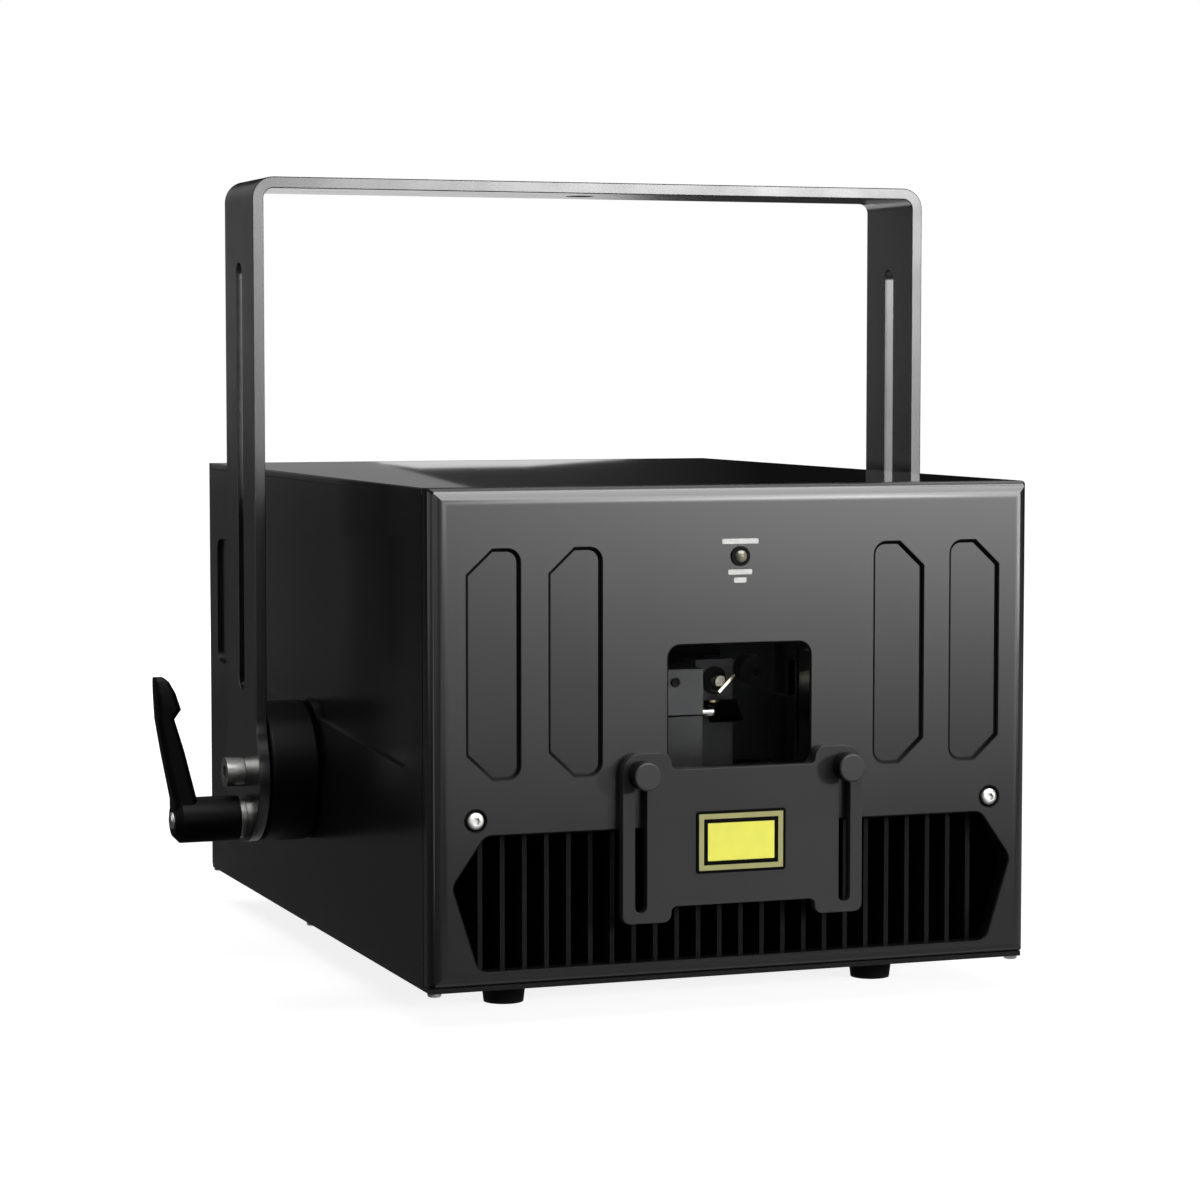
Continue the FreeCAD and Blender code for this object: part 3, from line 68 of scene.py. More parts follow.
bl_info = {
    "name": "Laser show projector looks",
    "version": (1, 0, 0),
    "blender": (4, 5, 0),
    "location": "3D View > Sidebar > Projector",
    "description": "Finishes, small trim and a plain studio for a laser show projector in a yoke",
    "category": "Object",
}


# Sizes and colours that a user would change

def length(name, description, default):
    """A length property in metres."""
    return bpy.props.FloatProperty(name=name, description=description, default=default, unit="LENGTH",
                                   precision=5)


def colour(name, description, default):
    """A colour property."""
    return bpy.props.FloatVectorProperty(name=name, description=description, default=default, size=3,
                                         subtype="COLOR", min=0.0, max=1.0)


def power(name, description, default):
    """A lamp's power in watts."""
    return bpy.props.FloatProperty(name=name, description=description, default=default, unit="POWER",
                                   min=0.0)


class ProjectorColours(bpy.types.PropertyGroup):
    """Colours of the finishes."""
    front: colour("Front", "Blasted front plate", (0.018, 0.018, 0.0176))
    mask: colour("Mask", "Mask plate", (0.034, 0.034, 0.034))
    # The thumbscrews' sides behind their faces take only a small share of this colour: painted shade.
    knob: colour("Knob", "Faces of the thumbscrews", (0.042, 0.042, 0.042))
    # Painted shade: the near-black rim colour goes on the rounding of the front plate's pocket, window and
    # vent edges.
    rim: colour("Rim", "Edges of the pockets and sides of the thumbscrews", (0.003, 0.003, 0.003))
    case: colour("Case", "Side, bottom and rear plates", (0.012, 0.012, 0.0125))
    yoke: colour("Yoke", "Powder coat of the yoke", (0.012, 0.012, 0.012))
    plastic: colour("Plastic", "Moulded plastic", (0.0016, 0.0016, 0.0016))
    rubber: colour("Rubber", "Feet and gasket", (0.004, 0.004, 0.004))
    steel: colour("Steel", "Plated steel", (0.66, 0.66, 0.64))
    # A darker copy of the plated steel: painted shade that stands in for the dark surroundings the bolts
    # reflect.
    bolt: colour("Bolt", "Dull plated bolts and inserts", (0.30, 0.30, 0.29))
    fins: colour("Fins", "Heat sink", (0.005, 0.005, 0.0052))
    scanner: colour("Scanner", "Scanner towers", (0.027, 0.027, 0.028))
    # A lighter copy of the scanner anodise for the clamp half and the pan block: painted light on the
    # pieces the window lets light reach.
    bridge: colour("Bridge", "Clamp half on the scanner tower", (0.075, 0.075, 0.077))
    inner: colour("Inner", "Blackened pieces on the bench", (0.006, 0.006, 0.006))
    plate_ground: colour("Plate", "Ground of the blank plate", (0.78, 0.76, 0.11))
    plate_band: colour("Plate band", "Band round the blank plate", (0.34, 0.33, 0.14))
    plate_line: colour("Plate line", "Lines of the blank plate", (0.002, 0.002, 0.002))
    mark: colour("Mark", "Printed dashes beside the lamp", (0.64, 0.64, 0.62))


class ProjectorSizes(bpy.types.PropertyGroup):
    """Sizes of the edges and the trim."""
    yoke_edge: length("Yoke edge", "Rounding of the yoke's edges", 0.0013)
    plate_edge: length("Plate edge", "Rounding of the front plate's inner edges", 0.00078)
    mask_edge: length("Mask edge", "Rounding of the mask plate's edges", 0.0006)
    sheet_edge: length("Sheet edge", "Rounding of the side, top and rear plates' edges", 0.0005)
    moulded_edge: length("Moulded edge", "Rounding of moulded pieces' edges", 0.0008)
    fine_edge: length("Fine edge", "Rounding of small pieces' edges", 0.0003)
    blank_width: length("Blank plate width", "Width of the blank plate on the mask", 0.0390)
    blank_height: length("Blank plate height", "Height of the blank plate on the mask", 0.0253)
    blank_low: length("Blank plate place", "Height of its lower edge above the floor", 0.0578)
    blank_shift: length("Blank plate shift", "Distance of its middle to the right of the mask's", -0.0013)
    blank_line: length("Blank plate outer line", "Width of the line at the plate's rim", 0.0011)
    blank_band: length("Blank plate band", "Width of the band inside that line", 0.0021)
    blank_inner: length("Blank plate inner line", "Width of the line round the ground", 0.0017)
    mark_height: length("Mark height", "Height of the printed dashes", 0.0021)
    contact_pitch: length("Contact pitch", "Pitch of the signal connectors' contacts", 0.00277)


class ProjectorStudio(bpy.types.PropertyGroup):
    """Camera and light."""
    lens: bpy.props.FloatProperty(name="Lens", description="Focal length", default=101.43, unit="CAMERA")
    key: power("Key", "Power of the box at the right", 36.0)
    near: power("Near", "Power of the box nearer the camera", 3.0)
    top: power("Top", "Power of the box overhead", 10.0)
    back: power("Back", "Power of the box behind", 30.0)
    sheen: bpy.props.FloatProperty(name="Sheen", description="Glow of the graded card in front",
                                   default=24.0, min=0.0)
    fill: bpy.props.FloatProperty(name="Fill", description="Strength of the world on matt surfaces",
                                  default=0.08, subtype="FACTOR", min=0.0, max=1.0)


def colours():
    """The colours in use."""
    return bpy.context.scene.projector_colours


def sizes():
    """The sizes in use."""
    return bpy.context.scene.projector_sizes


def studio():
    """The camera and light in use."""
    return bpy.context.scene.projector_studio


# Node helpers

def blank_material(name):
    """An empty node material with its shader."""
    material = bpy.data.materials.new(name)
    material.use_nodes = True
    return material, material.node_tree, material.node_tree.nodes["Principled BSDF"]


def grain(tree, scale, detail=3.0, stretch=(1.0, 1.0, 1.0)):
    """Noise in object space, stretched along the axes."""
    place = tree.nodes.new("ShaderNodeTexCoord")
    mapping = tree.nodes.new("ShaderNodeMapping")
    mapping.inputs["Scale"].default_value = stretch
    noise = tree.nodes.new("ShaderNodeTexNoise")
    noise.inputs["Scale"].default_value = scale
    noise.inputs["Detail"].default_value = detail
    tree.links.new(place.outputs["Object"], mapping.inputs["Vector"])
    tree.links.new(mapping.outputs["Vector"], noise.inputs["Vector"])
    return noise.outputs["Fac"]


def spread(tree, value, low, high, start=0.3, end=0.7):
    """Maps a band of a value to a range."""
    node = tree.nodes.new("ShaderNodeMapRange")
    node.inputs["From Min"].default_value = start
    node.inputs["From Max"].default_value = end
    node.inputs["To Min"].default_value = low
    node.inputs["To Max"].default_value = high
    tree.links.new(value, node.inputs["Value"])
    return node.outputs["Result"]


def ramp(tree, value, stops):
    """A share that changes evenly from stop to stop of a value."""
    places = np.array([place for place, share in stops])
    node = tree.nodes.new("ShaderNodeValToRGB")
    line = node.color_ramp.elements
    while len(line) < len(stops):
        line.new(0.5)
    for element, place, (_, share) in zip(line, (places - places[0]) / np.ptp(places), stops):
        element.position = place
        element.color = (share, share, share, 1.0)
    tree.links.new(spread(tree, value, 0.0, 1.0, places[0], places[-1]), node.inputs["Fac"])
    return node.outputs["Color"]


def blend_colours(tree, value, first, second):
    """Mixes two colours by a value."""
    node = tree.nodes.new("ShaderNodeMix")
    node.data_type = "RGBA"
    node.inputs["A"].default_value = (*first, 1.0)
    node.inputs["B"].default_value = (*second, 1.0)
    tree.links.new(value, node.inputs["Factor"])
    return node.outputs["Result"]


def shade(colour_value, amount):
    """A colour times an amount."""
    return tuple(min(1.0, part * amount) for part in colour_value)


def relief(tree, shader, value, depth, strength):
    """Raises a noise as fine relief."""
    bump = tree.nodes.new("ShaderNodeBump")
    bump.inputs["Strength"].default_value = strength
    bump.inputs["Distance"].default_value = depth
    tree.links.new(value, bump.inputs["Height"])
    tree.links.new(bump.outputs["Normal"], shader.inputs["Normal"])


def coated(name, base, rough, tone=0.12, specular=0.5, metal=0.0, cloud=14.0, fine=1500.0,
           depth=0.00003, strength=0.25, stretch=(1.0, 1.0, 1.0), sheen_shift=0.05):
    """A coated surface: clouded colour, clouded roughness and fine relief."""
    material, tree, shader = blank_material(name)
    clouds = grain(tree, cloud, 2.0, stretch)
    tint = blend_colours(tree, spread(tree, clouds, 0.0, 1.0), shade(base, 1 - tone), shade(base, 1 + tone))
    tree.links.new(tint, shader.inputs["Base Color"])
    patch_scale = cloud * 3.1
    patches = grain(tree, patch_scale, 2.0, stretch)
    gloss = spread(tree, patches, rough - sheen_shift, rough + sheen_shift)
    tree.links.new(gloss, shader.inputs["Roughness"])
    shader.inputs["Metallic"].default_value = metal
    shader.inputs["Specular IOR Level"].default_value = specular
    if strength:
        relief(tree, shader, grain(tree, fine, 2.0, stretch), depth, strength)
    return material


def lacquered(name, base, rough, glancing):
    """Smooth lacquer: satin where it faces the eye and glossier at a glancing angle."""
    material, tree, shader = blank_material(name)
    clouds = grain(tree, 14.0, 5.0)
    tint = blend_colours(tree, clouds, shade(base, 0.85), shade(base, 1.15))
    tree.links.new(tint, shader.inputs["Base Color"])
    angle = tree.nodes.new("ShaderNodeLayerWeight")
    gloss = spread(tree, angle.outputs["Facing"], rough, glancing, 0.5, 0.95)
    smear = spread(tree, grain(tree, 40.0, 4.0), 0.9, 1.1)
    product = tree.nodes.new("ShaderNodeMath")
    product.operation = "MULTIPLY"
    tree.links.new(gloss, product.inputs[0])
    tree.links.new(smear, product.inputs[1])
    tree.links.new(product.outputs[0], shader.inputs["Roughness"])
    shader.inputs["Specular IOR Level"].default_value = 0.5
    return material


def painted_shade_behind(material, node, lit, dim, share):
    """Paints shade behind a node's face: scales a finish's colour, full to the lit depth, a share from the
    dim one.
    """
    face = corners_of(node)[0][1]
    reach = 0.012
    stops = ((face, 1.0), (face + lit, 1.0), (face + dim, share), (face + reach, share))
    tree = material.node_tree
    place = tree.nodes.new("ShaderNodeTexCoord")
    parts = tree.nodes.new("ShaderNodeSeparateXYZ")
    tree.links.new(place.outputs["Object"], parts.inputs[0])
    scaled = tree.nodes.new("ShaderNodeVectorMath")
    scaled.operation = "SCALE"
    colour_socket = tree.nodes["Principled BSDF"].inputs["Base Color"]
    tree.links.new(colour_socket.links[0].from_socket, scaled.inputs[0])
    tree.links.new(ramp(tree, parts.outputs["Y"], stops), scaled.inputs["Scale"])
    tree.links.new(scaled.outputs[0], colour_socket)
    return material


def clear_pane():
    """Thin coated glass with faint smears."""
    material, tree, shader = blank_material("clear_pane")
    smear = grain(tree, 22.0, 4.0)
    tree.links.new(spread(tree, smear, 0.0, 0.02), shader.inputs["Roughness"])
    tint = blend_colours(tree, smear, (0.93, 0.95, 0.95), (0.98, 0.98, 0.98))
    tree.links.new(tint, shader.inputs["Base Color"])
    shader.inputs["Transmission Weight"].default_value = 1.0
    shader.inputs["IOR"].default_value = 1.04
    shader.inputs["Specular IOR Level"].default_value = 0.1
    return material


def board_lacquer():
    """Green board lacquer with a grid of tracks."""
    material, tree, shader = blank_material("board_lacquer")
    tracks = tree.nodes.new("ShaderNodeTexBrick")
    place = tree.nodes.new("ShaderNodeTexCoord")
    tree.links.new(place.outputs["Object"], tracks.inputs["Vector"])
    tracks.inputs["Scale"].default_value = 160.0
    tracks.inputs["Color1"].default_value = (0.010, 0.075, 0.030, 1.0)
    tracks.inputs["Color2"].default_value = (0.014, 0.105, 0.042, 1.0)
    tracks.inputs["Mortar"].default_value = (0.030, 0.170, 0.075, 1.0)
    tree.links.new(tracks.outputs["Color"], shader.inputs["Base Color"])
    tree.links.new(spread(tree, grain(tree, 60.0), 0.3, 0.45), shader.inputs["Roughness"])
    return material


def finishes():
    """All finishes by name."""
    tones = colours()
    return {
        # Painted shade: the front plate's colour falls to a share of itself in the pocket walls and floors
        # and inside the window and vent.
        "front": painted_shade_behind(
            coated("front_blasted", tones.front, rough=0.20, tone=0.04, specular=0.5, fine=2600.0,
                   sheen_shift=0.008),
            "front_plate", lit=0.0006, dim=0.0013, share=0.55),
        "mask": coated("mask_blasted", tones.mask, rough=0.5, tone=0.06, specular=0.1, fine=2600.0,
                       depth=0.00004),
        # Painted shade: the thumbscrews' sides behind their faces are nearly black.
        "knob": painted_shade_behind(
            coated("knob_blasted", tones.knob, rough=0.5, tone=0.08, specular=0.15, fine=2600.0,
                   depth=0.00004),
            "thumbscrew_left", lit=0.0004, dim=0.0008, share=0.04),
        # Painted shade: near-black rounded edges of the pockets, window and vent.
        "rim": coated("painted_shade_rim", tones.rim, rough=0.5, tone=0.1, specular=0.05, cloud=60.0,
                      fine=2600.0),
        "case": coated("case_paint", tones.case, rough=0.20, tone=0.04, specular=0.22, strength=0.0,
                       sheen_shift=0.004),
        "top": lacquered("top_paint", tones.case, rough=0.32, glancing=0.018),
        "yoke": coated("yoke_powder", tones.yoke, rough=0.24, tone=0.10, specular=0.8, fine=900.0,
                       depth=0.00005, strength=0.02, sheen_shift=0.03),
        "plastic": coated("moulded_plastic", tones.plastic, rough=0.45, tone=0.12, specular=0.07,
                          fine=1900.0, strength=0.35),
        "rubber": coated("soft_rubber", tones.rubber, rough=0.75, tone=0.2, specular=0.1, fine=1100.0,
                         strength=0.4),
        "steel": coated("plated_steel", tones.steel, rough=0.27, tone=0.08, specular=0.5, metal=1.0,
                        cloud=120.0, fine=2200.0, depth=0.00001, strength=0.05),
        "screw": coated("bright_plating", tones.steel, rough=0.42, tone=0.08, specular=0.5, metal=1.0,
                        cloud=120.0, fine=2200.0, depth=0.00001, strength=0.05),
        # Painted shade: plated steel darkened in its colour to stand in for dark reflections.
        "bolt": coated("painted_shade_plating", tones.bolt, rough=0.34, tone=0.10, specular=0.5, metal=1.0,
                       cloud=140.0, fine=2200.0, depth=0.00001, strength=0.05),
        "fins": coated("drawn_fins", tones.fins, rough=0.55, tone=0.15, specular=0.08,
                       stretch=(6.0, 0.12, 6.0), cloud=40.0, fine=500.0, strength=0.2),
        "scanner": coated("scanner_anodise", tones.scanner, rough=0.4, tone=0.10, specular=0.4,
                          cloud=60.0, fine=2400.0),
        # Painted light: a lighter copy of the scanner anodise.
        "bridge": coated("painted_light_anodise", tones.bridge, rough=0.45, tone=0.08, specular=0.3, cloud=60.0,
                         fine=2400.0),
        "inner": coated("inner_black", tones.inner, rough=0.5, tone=0.12, specular=0.2, cloud=60.0,
                        fine=2400.0),
        "mirror": coated("mirror_coat", (0.93, 0.86, 0.66), rough=0.08, tone=0.04, specular=0.5,
                         metal=1.0, cloud=90.0, strength=0.02, sheen_shift=0.02),
        "filter": coated("filter_coat", (0.012, 0.012, 0.016), rough=0.12, tone=0.10, specular=0.3,
                         cloud=90.0, strength=0.02, sheen_shift=0.02),
        "laser": coated("laser_block", (0.05, 0.05, 0.055), rough=0.42, tone=0.08, specular=0.4,
                        metal=0.3, cloud=50.0),
        "sheet": coated("bare_sheet", (0.52, 0.53, 0.54), rough=0.4, tone=0.06, specular=0.5, metal=0.9,
                        cloud=30.0),
        "brass": coated("turned_brass", (0.70, 0.52, 0.22), rough=0.3, tone=0.08, specular=0.5,
                        metal=1.0, cloud=90.0),
        "lamp": coated("lamp_lens", (0.20, 0.19, 0.13), rough=0.10, tone=0.10, specular=0.8, cloud=500.0,
                       strength=0.05, sheen_shift=0.02),
        "ground": coated("plate_ground", tones.plate_ground, rough=0.45, tone=0.03, specular=0.3,
                         cloud=160.0, strength=0.05),
        "band": coated("plate_band", tones.plate_band, rough=0.45, tone=0.04, specular=0.3, cloud=160.0,
                       strength=0.05),
        "line": coated("plate_line", tones.plate_line, rough=0.6, tone=0.10, specular=0.03, cloud=160.0,
                       strength=0.05),
        "mark": coated("printed_mark", tones.mark, rough=0.55, tone=0.10, specular=0.2, cloud=700.0,
                       strength=0.1),
        "glass": clear_pane(),
        "board": board_lacquer(),
    }


finish_of = {
    "front": ("front_plate", "aperture_clamp"),
    "mask": ("mask_plate",),
    "knob": ("thumbscrew_left", "thumbscrew_right"),
    "case": ("side_panel_left", "side_panel_right", "bottom_cover", "rear_panel"),
    "top": ("top_cover",),
    "yoke": ("yoke", "safety_eye"),
    "plastic": ("pivot_hubs", "lever_handle_left", "lever_handle_right", "lamp_bezel", "fan_frames",
                "fan_rotor_left", "fan_rotor_right", "power_inlet", "power_outlet", "data_socket",
                "interlock_socket", "network_socket", "key_switch"),
    "rubber": ("rubber_feet", "aperture_gasket"),
    "screw": ("front_screws",),
    "steel": ("foot_screws", "cover_screws", "eye_screws", "clamp_nuts", "lever_screw_left",
              "lever_screw_right", "tilt_shaft", "pan_shaft", "key_barrel", "key", "signal_sockets"),
    "bolt": ("pivot_bolts", "clamp_insert_left", "clamp_insert_right"),
    "fins": ("finned_bench",),
    "glass": ("aperture_glass",),
    "lamp": ("lamp_lens",),
    "scanner": ("tilt_tower",),
    "bridge": ("tilt_cap", "pan_tower"),
    "inner": ("scan_motors", "combiner_mounts"),
    "mirror": ("tilt_mirror", "pan_mirror"),
    "filter": ("combiner_mirrors",),
    "laser": ("laser_modules",),
    "sheet": ("power_supply",),
    "board": ("scan_driver_board", "laser_driver_board", "control_board"),
    "brass": ("board_standoffs",),
}


def finish(name):
    """A finish by its name, made once."""
    made = bpy.context.scene.get("projector_finish_names")
    if made is None:
        made = {key: material.name for key, material in finishes().items()}
        bpy.context.scene["projector_finish_names"] = made
    return bpy.data.materials[made[name]]


def dress(piece, *names):
    """Gives an object its finishes in place of what it had."""
    if piece.data.materials:
        piece.data.materials.clear()
    for name in names:
        piece.data.materials.append(finish(name))


# Shapes

x_axis, y_axis, z_axis = np.eye(3)
facing_front = (x_axis, z_axis, -y_axis)
facing_rear = (-x_axis, z_axis, y_axis)
screw_points = 48


def add_piece(name, mesh, body, slot, *finish_names):
    """Links a mesh as a piece that rides on a body."""
    piece = bpy.data.objects.new(name, mesh)
    bpy.context.scene.collection.objects.link(piece)
    dress(piece, *finish_names)
    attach(piece, body)
    return piece


def body_of(node):
    """The body that a CAD node rides on."""
    return frame["nodes"][node]["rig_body"]


def corners_of(node):
    """Lowest and highest corner of a CAD node."""
    low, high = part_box(node)
    return np.array(low), np.array(high)


def set_out(local, origin, axes):
    """Carries local points (across, up, along) to an origin, along three axes of a right-handed set."""
    across, up, along = axes
    return origin + local[..., 0:1] * across + local[..., 1:2] * up + local[..., 2:3] * along


def closed_surfaces(name, grids, smooth_angle=0.6):
    """A mesh of closed surfaces from an array of copies, rings, points and X, Y, Z. Neighbouring rings are
    joined by four-cornered faces, and the first and last ring close to their middles. Rings run
    anticlockwise as seen from the last one."""
    copies, rows, count = grids.shape[:3]
    ends = np.stack([grids[:, 0].mean(axis=1), grids[:, -1].mean(axis=1)], axis=1)
    points = np.concatenate([grids.reshape(copies, -1, 3), ends], axis=1)
    ring = np.arange(count)
    after = np.roll(ring, -1)
    row = np.arange(rows - 1)[:, None] * count
    quads = np.stack([row + ring, row + after, row + count + after, row + count + ring], axis=-1)
    first = np.full(count, rows * count)
    last_ring = (rows - 1) * count
    caps = np.stack([np.stack([first, after, ring], axis=-1),
                     np.stack([first + 1, last_ring + ring, last_ring + after], axis=-1)])
    start = (np.arange(copies) * points.shape[1])[:, None, None]
    faces = (quads.reshape(-1, 4) + start).reshape(-1, 4).tolist()
    faces += (caps.reshape(-1, 3) + start).reshape(-1, 3).tolist()
    mesh = bpy.data.meshes.new(name)
    mesh.from_pydata(points.reshape(-1, 3).tolist(), [], faces)
    mesh.shade_smooth()
    mesh.set_sharp_from_angle(angle=smooth_angle)
    return mesh


def rounded_outline(width, height, radius, steps=6):
    """Points of a rounded rectangle about zero: a quarter circle at each corner, anticlockwise."""
    turn = np.linspace(0, math.pi / 2, steps)
    angle = turn + np.arange(4)[:, None] * math.pi / 2
    signs = np.array([(1, 1), (-1, 1), (-1, -1), (1, -1)])
    middles = signs * np.array([width / 2 - radius, height / 2 - radius])
    points = middles[:, None, :] + radius * np.stack([np.cos(angle), np.sin(angle)], axis=-1)
    return points.reshape(-1, 2)


def stacked(outlines, levels):
    """Rings of a slab: each outline stands at its own level."""
    heights = [np.full((len(outline), 1), level) for outline, level in zip(outlines, levels)]
    return np.stack([np.concatenate(pair, axis=1) for pair in zip(outlines, heights)])


def turned_rings(radii, levels, turn):
    """Rings about the local axis: every ring has its radius, alike or by angle, and its level."""
    shape = (len(levels), len(turn))
    radii = np.broadcast_to(np.asarray(radii, dtype=float).reshape(len(levels), -1), shape)
    heights = np.broadcast_to(np.asarray(levels)[:, None], shape)
    return np.stack([radii * np.cos(turn), radii * np.sin(turn), heights], axis=-1)


def round_turn(count):
    """Angles once round."""
    return np.linspace(0, 2 * math.pi, count, endpoint=False)


def hexagon(turn, flat):
    """Radius of a hexagon: its flat's distance over the cosine of the angle from the middle of a side."""
    return flat / np.cos((turn + math.pi / 6) % (math.pi / 3) - math.pi / 6)


def screw_head(radius, height, key_flat, key_depth, seat=0.0):
    """Rings of a button head: a short wall, a quarter circle to the flat top and a hexagonal key."""
    turn = round_turn(screw_points)
    dome = height / 2
    arc = np.linspace(0, math.pi / 2, 6)
    top = seat + height
    body = turned_rings(np.append(radius, radius - dome + dome * np.cos(arc)),
                        np.append(seat, top - dome + dome * np.sin(arc)), turn)
    key = turned_rings(np.stack([hexagon(turn, key_flat)] * 2), [top, top - key_depth], turn)
    return np.concatenate([body, key])


def whole_screw(radius, height, shank, reach, key_flat, key_depth):
    """Rings of a screw from the chamfer at its tip along its shank to the key in its head."""
    tip = shank / 4
    seat = reach - height
    stem = turned_rings([shank - tip, shank, shank], [0.0, tip, seat], round_turn(screw_points))
    return np.concatenate([stem, screw_head(radius, height, key_flat, key_depth, seat)])


def solids(node):
    """Points of each separate solid in a CAD node: corners that share a place or a face take the lowest
    label among them, until no label changes."""
    mesh = frame["nodes"][node].data
    points = np.empty(len(mesh.vertices) * 3)
    mesh.vertices.foreach_get("co", points)
    points = points.reshape(-1, 3)
    merged = np.unique(np.round(points, 6), axis=0, return_inverse=True)[1].ravel()
    corners = np.empty(len(mesh.loops), dtype=np.int64)
    mesh.loops.foreach_get("vertex_index", corners)
    faces = merged[corners.reshape(-1, 3)]
    label = np.arange(merged.max() + 1)
    settled = False
    while not settled:
        lower = label.copy()
        np.minimum.at(lower, faces, label[faces].min(axis=1, keepdims=True))
        settled = np.array_equal(lower, label)
        label = lower
    owner = label[merged]
    return [points[owner == item] for item in np.unique(owner)]


def lying_screw(points, height, shank, key_flat, key_depth):
    """Rings of a screw in the place of a CAD screw's points: its axis is the longest side of their box, and
    its head is at the end where they stand widest."""
    low, high = points.min(axis=0), points.max(axis=0)
    axis = int(np.argmax(high - low))
    middle = (low + high) / 2
    away = np.linalg.norm(np.delete(points - middle, axis, axis=1), axis=1)
    nearly = 0.99
    head_side = points[away > away.max() * nearly, axis].mean() - middle[axis]
    along = np.eye(3)[axis] * np.sign(head_side)
    across = np.eye(3)[(axis + 1) % 3]
    reach = high[axis] - low[axis]
    local = whole_screw(away.max(), height, shank, reach, key_flat, key_depth)
    return set_out(local, middle - along * reach / 2, (across, np.cross(along, across), along))


def add_copies(name, rings, places, body, slot, finish_name):
    """One piece of copies of a surface that faces the rear, one at each place."""
    grids = set_out(rings[None], places[:, None, None, :], facing_rear)
    add_piece(name, closed_surfaces(name, grids), body, slot, finish_name)


def softened(node, name, width, finish_name, slot, rim=None, sharp=30):
    """A merged copy of a CAD node whose edges over the sharp angle are rounded. Where a rim is named, the
    rounding has that finish, and the shading is split at the split angle."""
    merge_distance = 0.000002
    flat_angle = math.radians(0.3)
    split_angle = math.radians(24)
    mesh = frame["nodes"][node].data.copy()
    mesh.name = name
    work = bmesh.new()
    work.from_mesh(mesh)
    bmesh.ops.remove_doubles(work, verts=work.verts, dist=merge_distance)
    bmesh.ops.dissolve_limit(work, angle_limit=flat_angle, verts=work.verts, edges=work.edges)
    work.to_mesh(mesh)
    work.free()
    if "custom_normal" in mesh.attributes:
        mesh.attributes.remove(mesh.attributes["custom_normal"])
    mesh.shade_smooth()
    piece = add_piece(name, mesh, body_of(node), slot, *filter(None, (finish_name, rim)))
    edge = piece.modifiers.new("Edge", "BEVEL")
    if rim is not None:
        mesh.set_sharp_from_angle(angle=split_angle)
        edge.material = 1
        edge.use_clamp_overlap = False
        edge.loop_slide = False
    edge.width = width
    edge.segments = 3
    edge.limit_method = "ANGLE"
    edge.angle_limit = math.radians(sharp)
    flats = piece.modifiers.new("Flats", "WEIGHTED_NORMAL")
    flats.mode = "FACE_AREA"
    flats.weight = 100
    flats.keep_sharp = rim is not None
    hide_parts(node)


# Operators

class PROJECTOR_OT_finish_nodes(bpy.types.Operator):
    """Give every CAD node its finish"""
    bl_idname = "projector.finish_nodes"
    bl_label = "Finish CAD nodes"

    def execute(self, context):
        for name, nodes in finish_of.items():
            for node in nodes:
                dress(frame["nodes"][node], name)
        left = set(frame["nodes"]) - {node for nodes in finish_of.values() for node in nodes}
        if left:
            raise RuntimeError("no finish for " + ", ".join(sorted(left)))
        return {"FINISHED"}


class PROJECTOR_OT_soften_housing(bpy.types.Operator):
    """Round the edges of the housing's plates"""
    bl_idname = "projector.soften_housing"
    bl_label = "Soften housing"

    def execute(self, context):
        size = sizes()
        # The front plate's rounded inner edges take the rim finish, which is painted shade.
        softened("front_plate", "front_panel", size.plate_edge, "front", "housing", rim="rim", sharp=70)
        softened("top_cover", "top_panel", size.sheet_edge, "top", "housing")
        for node, name in (("side_panel_left", "left_panel"), ("side_panel_right", "right_panel"),
                           ("rear_panel", "back_panel")):
            softened(node, name, size.sheet_edge, "case", "housing")
        return {"FINISHED"}


class PROJECTOR_OT_soften_mask(bpy.types.Operator):
    """Round the edges of the mask plate and its thumbscrews"""
    bl_idname = "projector.soften_mask"
    bl_label = "Soften mask"

    def execute(self, context):
        size = sizes()
        softened("mask_plate", "mask_panel", size.mask_edge, "mask", "housing")
        for side in ("left", "right"):
            softened("thumbscrew_" + side, "thumb_knob_" + side, size.fine_edge, "knob", "black_plastic")
        return {"FINISHED"}


class PROJECTOR_OT_soften_yoke(bpy.types.Operator):
    """Round the edges of the yoke, its hubs, the clamp levers and the safety eye"""
    bl_idname = "projector.soften_yoke"
    bl_label = "Soften yoke"

    def execute(self, context):
        size = sizes()
        softened("yoke", "yoke_bar", size.yoke_edge, "yoke", "yoke")
        softened("safety_eye", "wire_eye", size.yoke_edge, "yoke", "yoke")
        softened("pivot_hubs", "hub_rings", size.moulded_edge, "plastic", "black_plastic")
        for side in ("left", "right"):
            softened("lever_handle_" + side, "lever_grip_" + side, size.moulded_edge, "plastic",
                     "black_plastic")
        return {"FINISHED"}


class PROJECTOR_OT_soften_scanner(bpy.types.Operator):
    """Round the edges of the scanner pieces behind the window and put a screw in the bridge"""
    bl_idname = "projector.soften_scanner"
    bl_label = "Soften scanner"

    def execute(self, context):
        pieces = (("tilt_tower", "tilt_block", "scanner"), ("tilt_cap", "tilt_bridge", "bridge"),
                  ("pan_tower", "pan_block", "bridge"))
        for node, name, finish_name in pieces:
            softened(node, name, sizes().fine_edge, finish_name, "scanner")
        low, high = corners_of("tilt_cap")
        head = screw_head(radius=0.0020, height=0.0012, key_flat=0.0010, key_depth=0.0008)
        inset = np.array([0.0125, 0.0, 0.0054])
        place = np.array([high[0], low[1], high[2]]) - inset
        mesh = closed_surfaces("bridge_screw", set_out(head, place, facing_front)[None])
        add_piece("bridge_screw", mesh, body_of("tilt_cap"), "steel", "inner")
        return {"FINISHED"}


